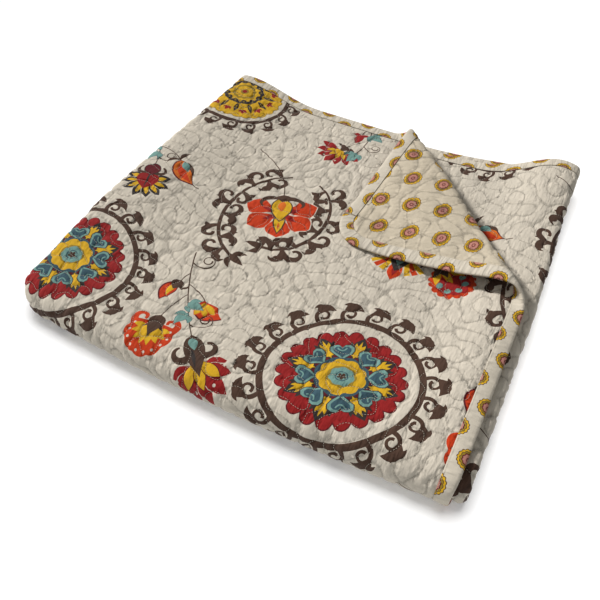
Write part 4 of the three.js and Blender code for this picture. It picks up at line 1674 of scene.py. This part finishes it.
def cotton(tree, shader, colour, puckers=True):
    """The colour, relief and dull surface that every cotton here has."""
    if puckers:
        # Painted shade darkens the colour in the creases of the quilting.
        colour = shaded_creases(tree, colour)
    tree.links.new(colour, shader.inputs["Base Color"])
    tree.links.new(cotton_normal(tree, puckers), shader.inputs["Normal"])
    set_input(shader, Roughness=0.88, Sheen_Weight=0.04, Sheen_Roughness=0.5)
    set_input(shader, Specular_IOR_Level=0.15)


def printed_cotton():
    finish, tree, shader = new_finish("printed cotton")
    ink = add_node(tree, "ShaderNodeAttribute", attribute_name="print").outputs["Color"]
    cotton(tree, shader, uneven(tree, ink, 0.16))
    return finish


def lay_ink(piece, places, faces):
    """Gives each face of the mesh the colour of the last ink laid over its middle."""
    middles = places[faces].mean(axis=1)
    number = painted(middles, print_outlines)
    colours = np.array([[*INKS[name], 1.0] for name in INK_NAMES])
    layer = piece.data.attributes.new("print", "FLOAT_COLOR", "FACE")
    layer.data.foreach_set("color", np.float32(colours[number]).ravel())
    print("inked faces:", int((number > 0).sum()))


lay_ink(face, face_places, face_faces)
face.data.materials.append(printed_cotton())

# %% [markdown]
# The backing has small rosettes in rows, each row moved along by half a step. A repeat as plain
# as this is quicker in nodes: the cloth's coordinates are wrapped into one cell, and rings of
# the nearest rosette are coloured by their distance from its middle, pushed in and out by a
# cosine of the angle to give the scallops. The binding has the same rosettes, closer together.

# %% Rosette cloth for the backing and the binding
ROSETTE_U = 48
ROSETTE_V = 50
ROSETTE_SHIFT = 14
BINDING_PITCH = 38
BINDING_SHIFT = -21
ROSETTE_RINGS = [
    (13.9, "brown", 16, 0.09),
    (12.9, "yellow", 16, 0.09),
    (10.8, "brown", 12, 0.1),
    (10.0, "olive", 12, 0.1),
    (8.3, "maroon", 10, 0.12),
    (6.9, "pink", 10, 0.14),
    (3.0, "maroon", 6, 0.2),
    (1.7, "pink", 5, 0.2),
]
INKS["pink"] = linear(198, 138, 124) * DYE_DEPTH
BACKING_GROUND = linear(214, 202, 179) * DYE_DEPTH
BINDING_GROUND = linear(220, 211, 193) * DYE_DEPTH


def wrapped(tree, value, offset, size):
    """A coordinate in a cell of a size, measured from the cell's middle."""
    moved_on = maths(tree, "ADD", value, offset)
    return maths(tree, "WRAP", moved_on, size / 2, -size / 2)


def rosette_cloth(name, puckers, ground, pitch, shift):
    finish, tree, shader = new_finish(name)
    split = add_node(tree, "ShaderNodeSeparateXYZ", {"Vector": cloth_vector(tree)})
    u = maths(tree, "MULTIPLY", split.outputs["X"], 1 / MM)
    v = maths(tree, "MULTIPLY", split.outputs["Y"], 1 / MM)
    distances, angles = [], []
    for row in (0, 0.5):
        x = wrapped(tree, u, row * 2 * pitch, 2 * pitch)
        y = wrapped(tree, v, shift + row * ROSETTE_V, ROSETTE_V)
        squared = maths(tree, "ADD", maths(tree, "MULTIPLY", x, x), maths(tree, "MULTIPLY", y, y))
        distances.append(maths(tree, "SQRT", squared))
        angles.append(maths(tree, "ARCTAN2", y, x))
    nearer = maths(tree, "LESS_THAN", distances[0], distances[1])
    distance = maths(tree, "MINIMUM", *distances)
    change = maths(tree, "SUBTRACT", angles[0], angles[1])
    angle = maths(tree, "MULTIPLY_ADD", change, nearer, angles[1])
    colour = (*ground, 1.0)
    for radius, ink, lobes, depth in ROSETTE_RINGS:
        turn = maths(tree, "MULTIPLY", angle, lobes / 2)
        lobe = maths(tree, "ABSOLUTE", maths(tree, "COSINE", turn))
        reach = ranged(tree, lobe, 0.0, 1.0, radius * (1 - depth), radius)
        inside = maths(tree, "LESS_THAN", distance, reach)
        colour = mixed(tree, inside, colour, (*INKS[ink], 1.0))
    cotton(tree, shader, uneven(tree, colour), puckers)
    return finish


backing.data.materials.append(rosette_cloth("rosette cotton", True, BACKING_GROUND, ROSETTE_U, ROSETTE_SHIFT))
strip_cotton = rosette_cloth("rosette strip cotton", False, BINDING_GROUND, BINDING_PITCH, BINDING_SHIFT)
binding.data.materials.append(strip_cotton)

# %% Sewing thread
THREAD_TWISTS = 5200
TWIST_DEPTH = 0.1 * MM


def sewing_thread():
    """Thread with its twist: waves that run slantwise round it, in the object's own space. Its colour is
    darker in the grooves of the twist, as painted shade.
    """
    finish, tree, shader = new_finish("sewing thread")
    place = add_node(tree, "ShaderNodeTexCoord").outputs["Object"]
    split = add_node(tree, "ShaderNodeSeparateXYZ", {"Vector": place})
    run = maths(tree, "ADD", maths(tree, "ADD", split.outputs["X"], split.outputs["Y"]), split.outputs["Z"])
    twist = maths(tree, "SINE", maths(tree, "MULTIPLY", run, THREAD_TWISTS))
    # Painted shade: the colour is darker where the twist's bump is low.
    level = ranged(tree, twist, -1.0, 1.0, 0.85, 1.0)
    colour = shaded(tree, (*linear(206, 196, 176), 1.0), level)
    tree.links.new(colour, shader.inputs["Base Color"])
    tree.links.new(bump(tree, twist, TWIST_DEPTH, 0.4), shader.inputs["Normal"])
    set_input(shader, Roughness=0.6, Sheen_Weight=0.2)
    return finish


thread = sewing_thread()
for piece in (face_thread, backing_thread, *binding_thread):
    piece.data.materials.append(thread)

# %% Put each piece in the root body, and hide the solids it stands for
for piece in (face, backing, binding, face_thread, backing_thread, *binding_thread):
    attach(piece, "root")
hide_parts("quilt")
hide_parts("quilt")
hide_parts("binding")

# %% [markdown]
# The floor is pale and plain. A soft key light comes from the left and a weak one from the front
# right, and both leave their shading on the cloth. The key light is kept off the floor, where a
# lamp above that lights the floor alone makes the shadow. The camera stands where the photograph
# was taken from.

# %% Floor, light and camera
FLOOR_REACH = 6
WORLD_LIGHT = 0.27
floor_mesh = bpy.data.meshes.new("Floor")
floor_mesh.from_pydata(
    [(x * FLOOR_REACH, y * FLOOR_REACH, 0) for x, y in ((-1, -1), (1, -1), (1, 1), (-1, 1))],
    [],
    [(0, 1, 2, 3)],
)
floor = bpy.data.objects.new("Floor", floor_mesh)
bpy.context.scene.collection.objects.link(floor)
floor_finish = bpy.data.materials.new("pale floor")
floor_finish.use_nodes = True
floor_shader = floor_finish.node_tree.nodes["Principled BSDF"]
set_input(floor_shader, Base_Color=(0.93, 0.93, 0.93, 1), Roughness=0.9)
set_input(floor_shader, Emission_Color=(1, 1, 1, 1), Emission_Strength=0.1)
floor_mesh.materials.append(floor_finish)

scene = bpy.context.scene
scene.view_settings.view_transform = "Standard"
world = bpy.data.worlds.new("soft studio")
world.use_nodes = True
set_input(world.node_tree.nodes["Background"], Color=(1, 1, 1, 1), Strength=WORLD_LIGHT)
scene.world = world


def lamp_at(name, kind, place, **settings):
    """A lamp with its settings that faces the middle of the throw."""
    light = bpy.data.lights.new(name, kind)
    for setting, value in settings.items():
        setattr(light, setting, value)
    lamp = bpy.data.objects.new(name, light)
    lamp.location = place
    lamp.rotation_euler = (-Vector(place)).to_track_quat("-Z", "Y").to_euler()
    scene.collection.objects.link(lamp)
    return lamp


def light_floor(lamp, state):
    """Keeps a lamp's light off the floor, or keeps it for the floor alone."""
    floor_alone = bpy.data.collections.new(lamp.name + " floor")
    floor_alone.objects.link(floor)
    floor_alone.collection_objects[0].light_linking.link_state = state
    lamp.light_linking.receiver_collection = floor_alone


KEY_COLOUR = (1.0, 0.975, 0.96)
KEY_ANGLE = np.radians(9)
key = lamp_at("Key light", "SUN", (-0.9, 0.14, 0.64), energy=4.8, angle=KEY_ANGLE, color=KEY_COLOUR)
light_floor(key, "EXCLUDE")
lamp_at("Fill light", "AREA", (1.0, -1.9, 2.0), size=2.4, energy=14)
overhead = lamp_at("Floor light", "AREA", (-0.1, 0.3, 2.7), size=1.6, energy=70)
light_floor(overhead, "INCLUDE")

CAMERA_AZIMUTH = np.radians(27.822)
CAMERA_ELEVATION = np.radians(49.09)
CAMERA_DISTANCE = 0.9164
CAMERA_ROLL = np.radians(-0.196)
CAMERA_LENS = 38.2
CAMERA_FRAME = 36
CAMERA_TO = Vector((20.72 + PLACE[0], -111.34 + PLACE[1], 0)) * MM
camera_back = Vector((
    np.sin(CAMERA_AZIMUTH) * np.cos(CAMERA_ELEVATION),
    -np.cos(CAMERA_AZIMUTH) * np.cos(CAMERA_ELEVATION),
    np.sin(CAMERA_ELEVATION),
))
CAMERA_AT = CAMERA_TO + camera_back * CAMERA_DISTANCE
camera = bpy.data.cameras.new("Camera")
camera.lens = CAMERA_LENS
camera.sensor_width = CAMERA_FRAME
camera_object = bpy.data.objects.new("Camera", camera)
aim = (CAMERA_TO - CAMERA_AT).to_track_quat("-Z", "Y").to_matrix()
turned = aim @ Matrix.Rotation(CAMERA_ROLL, 3, "Z")
camera_object.matrix_world = Matrix.Translation(CAMERA_AT) @ turned.to_4x4()
scene.collection.objects.link(camera_object)
scene.camera = camera_object
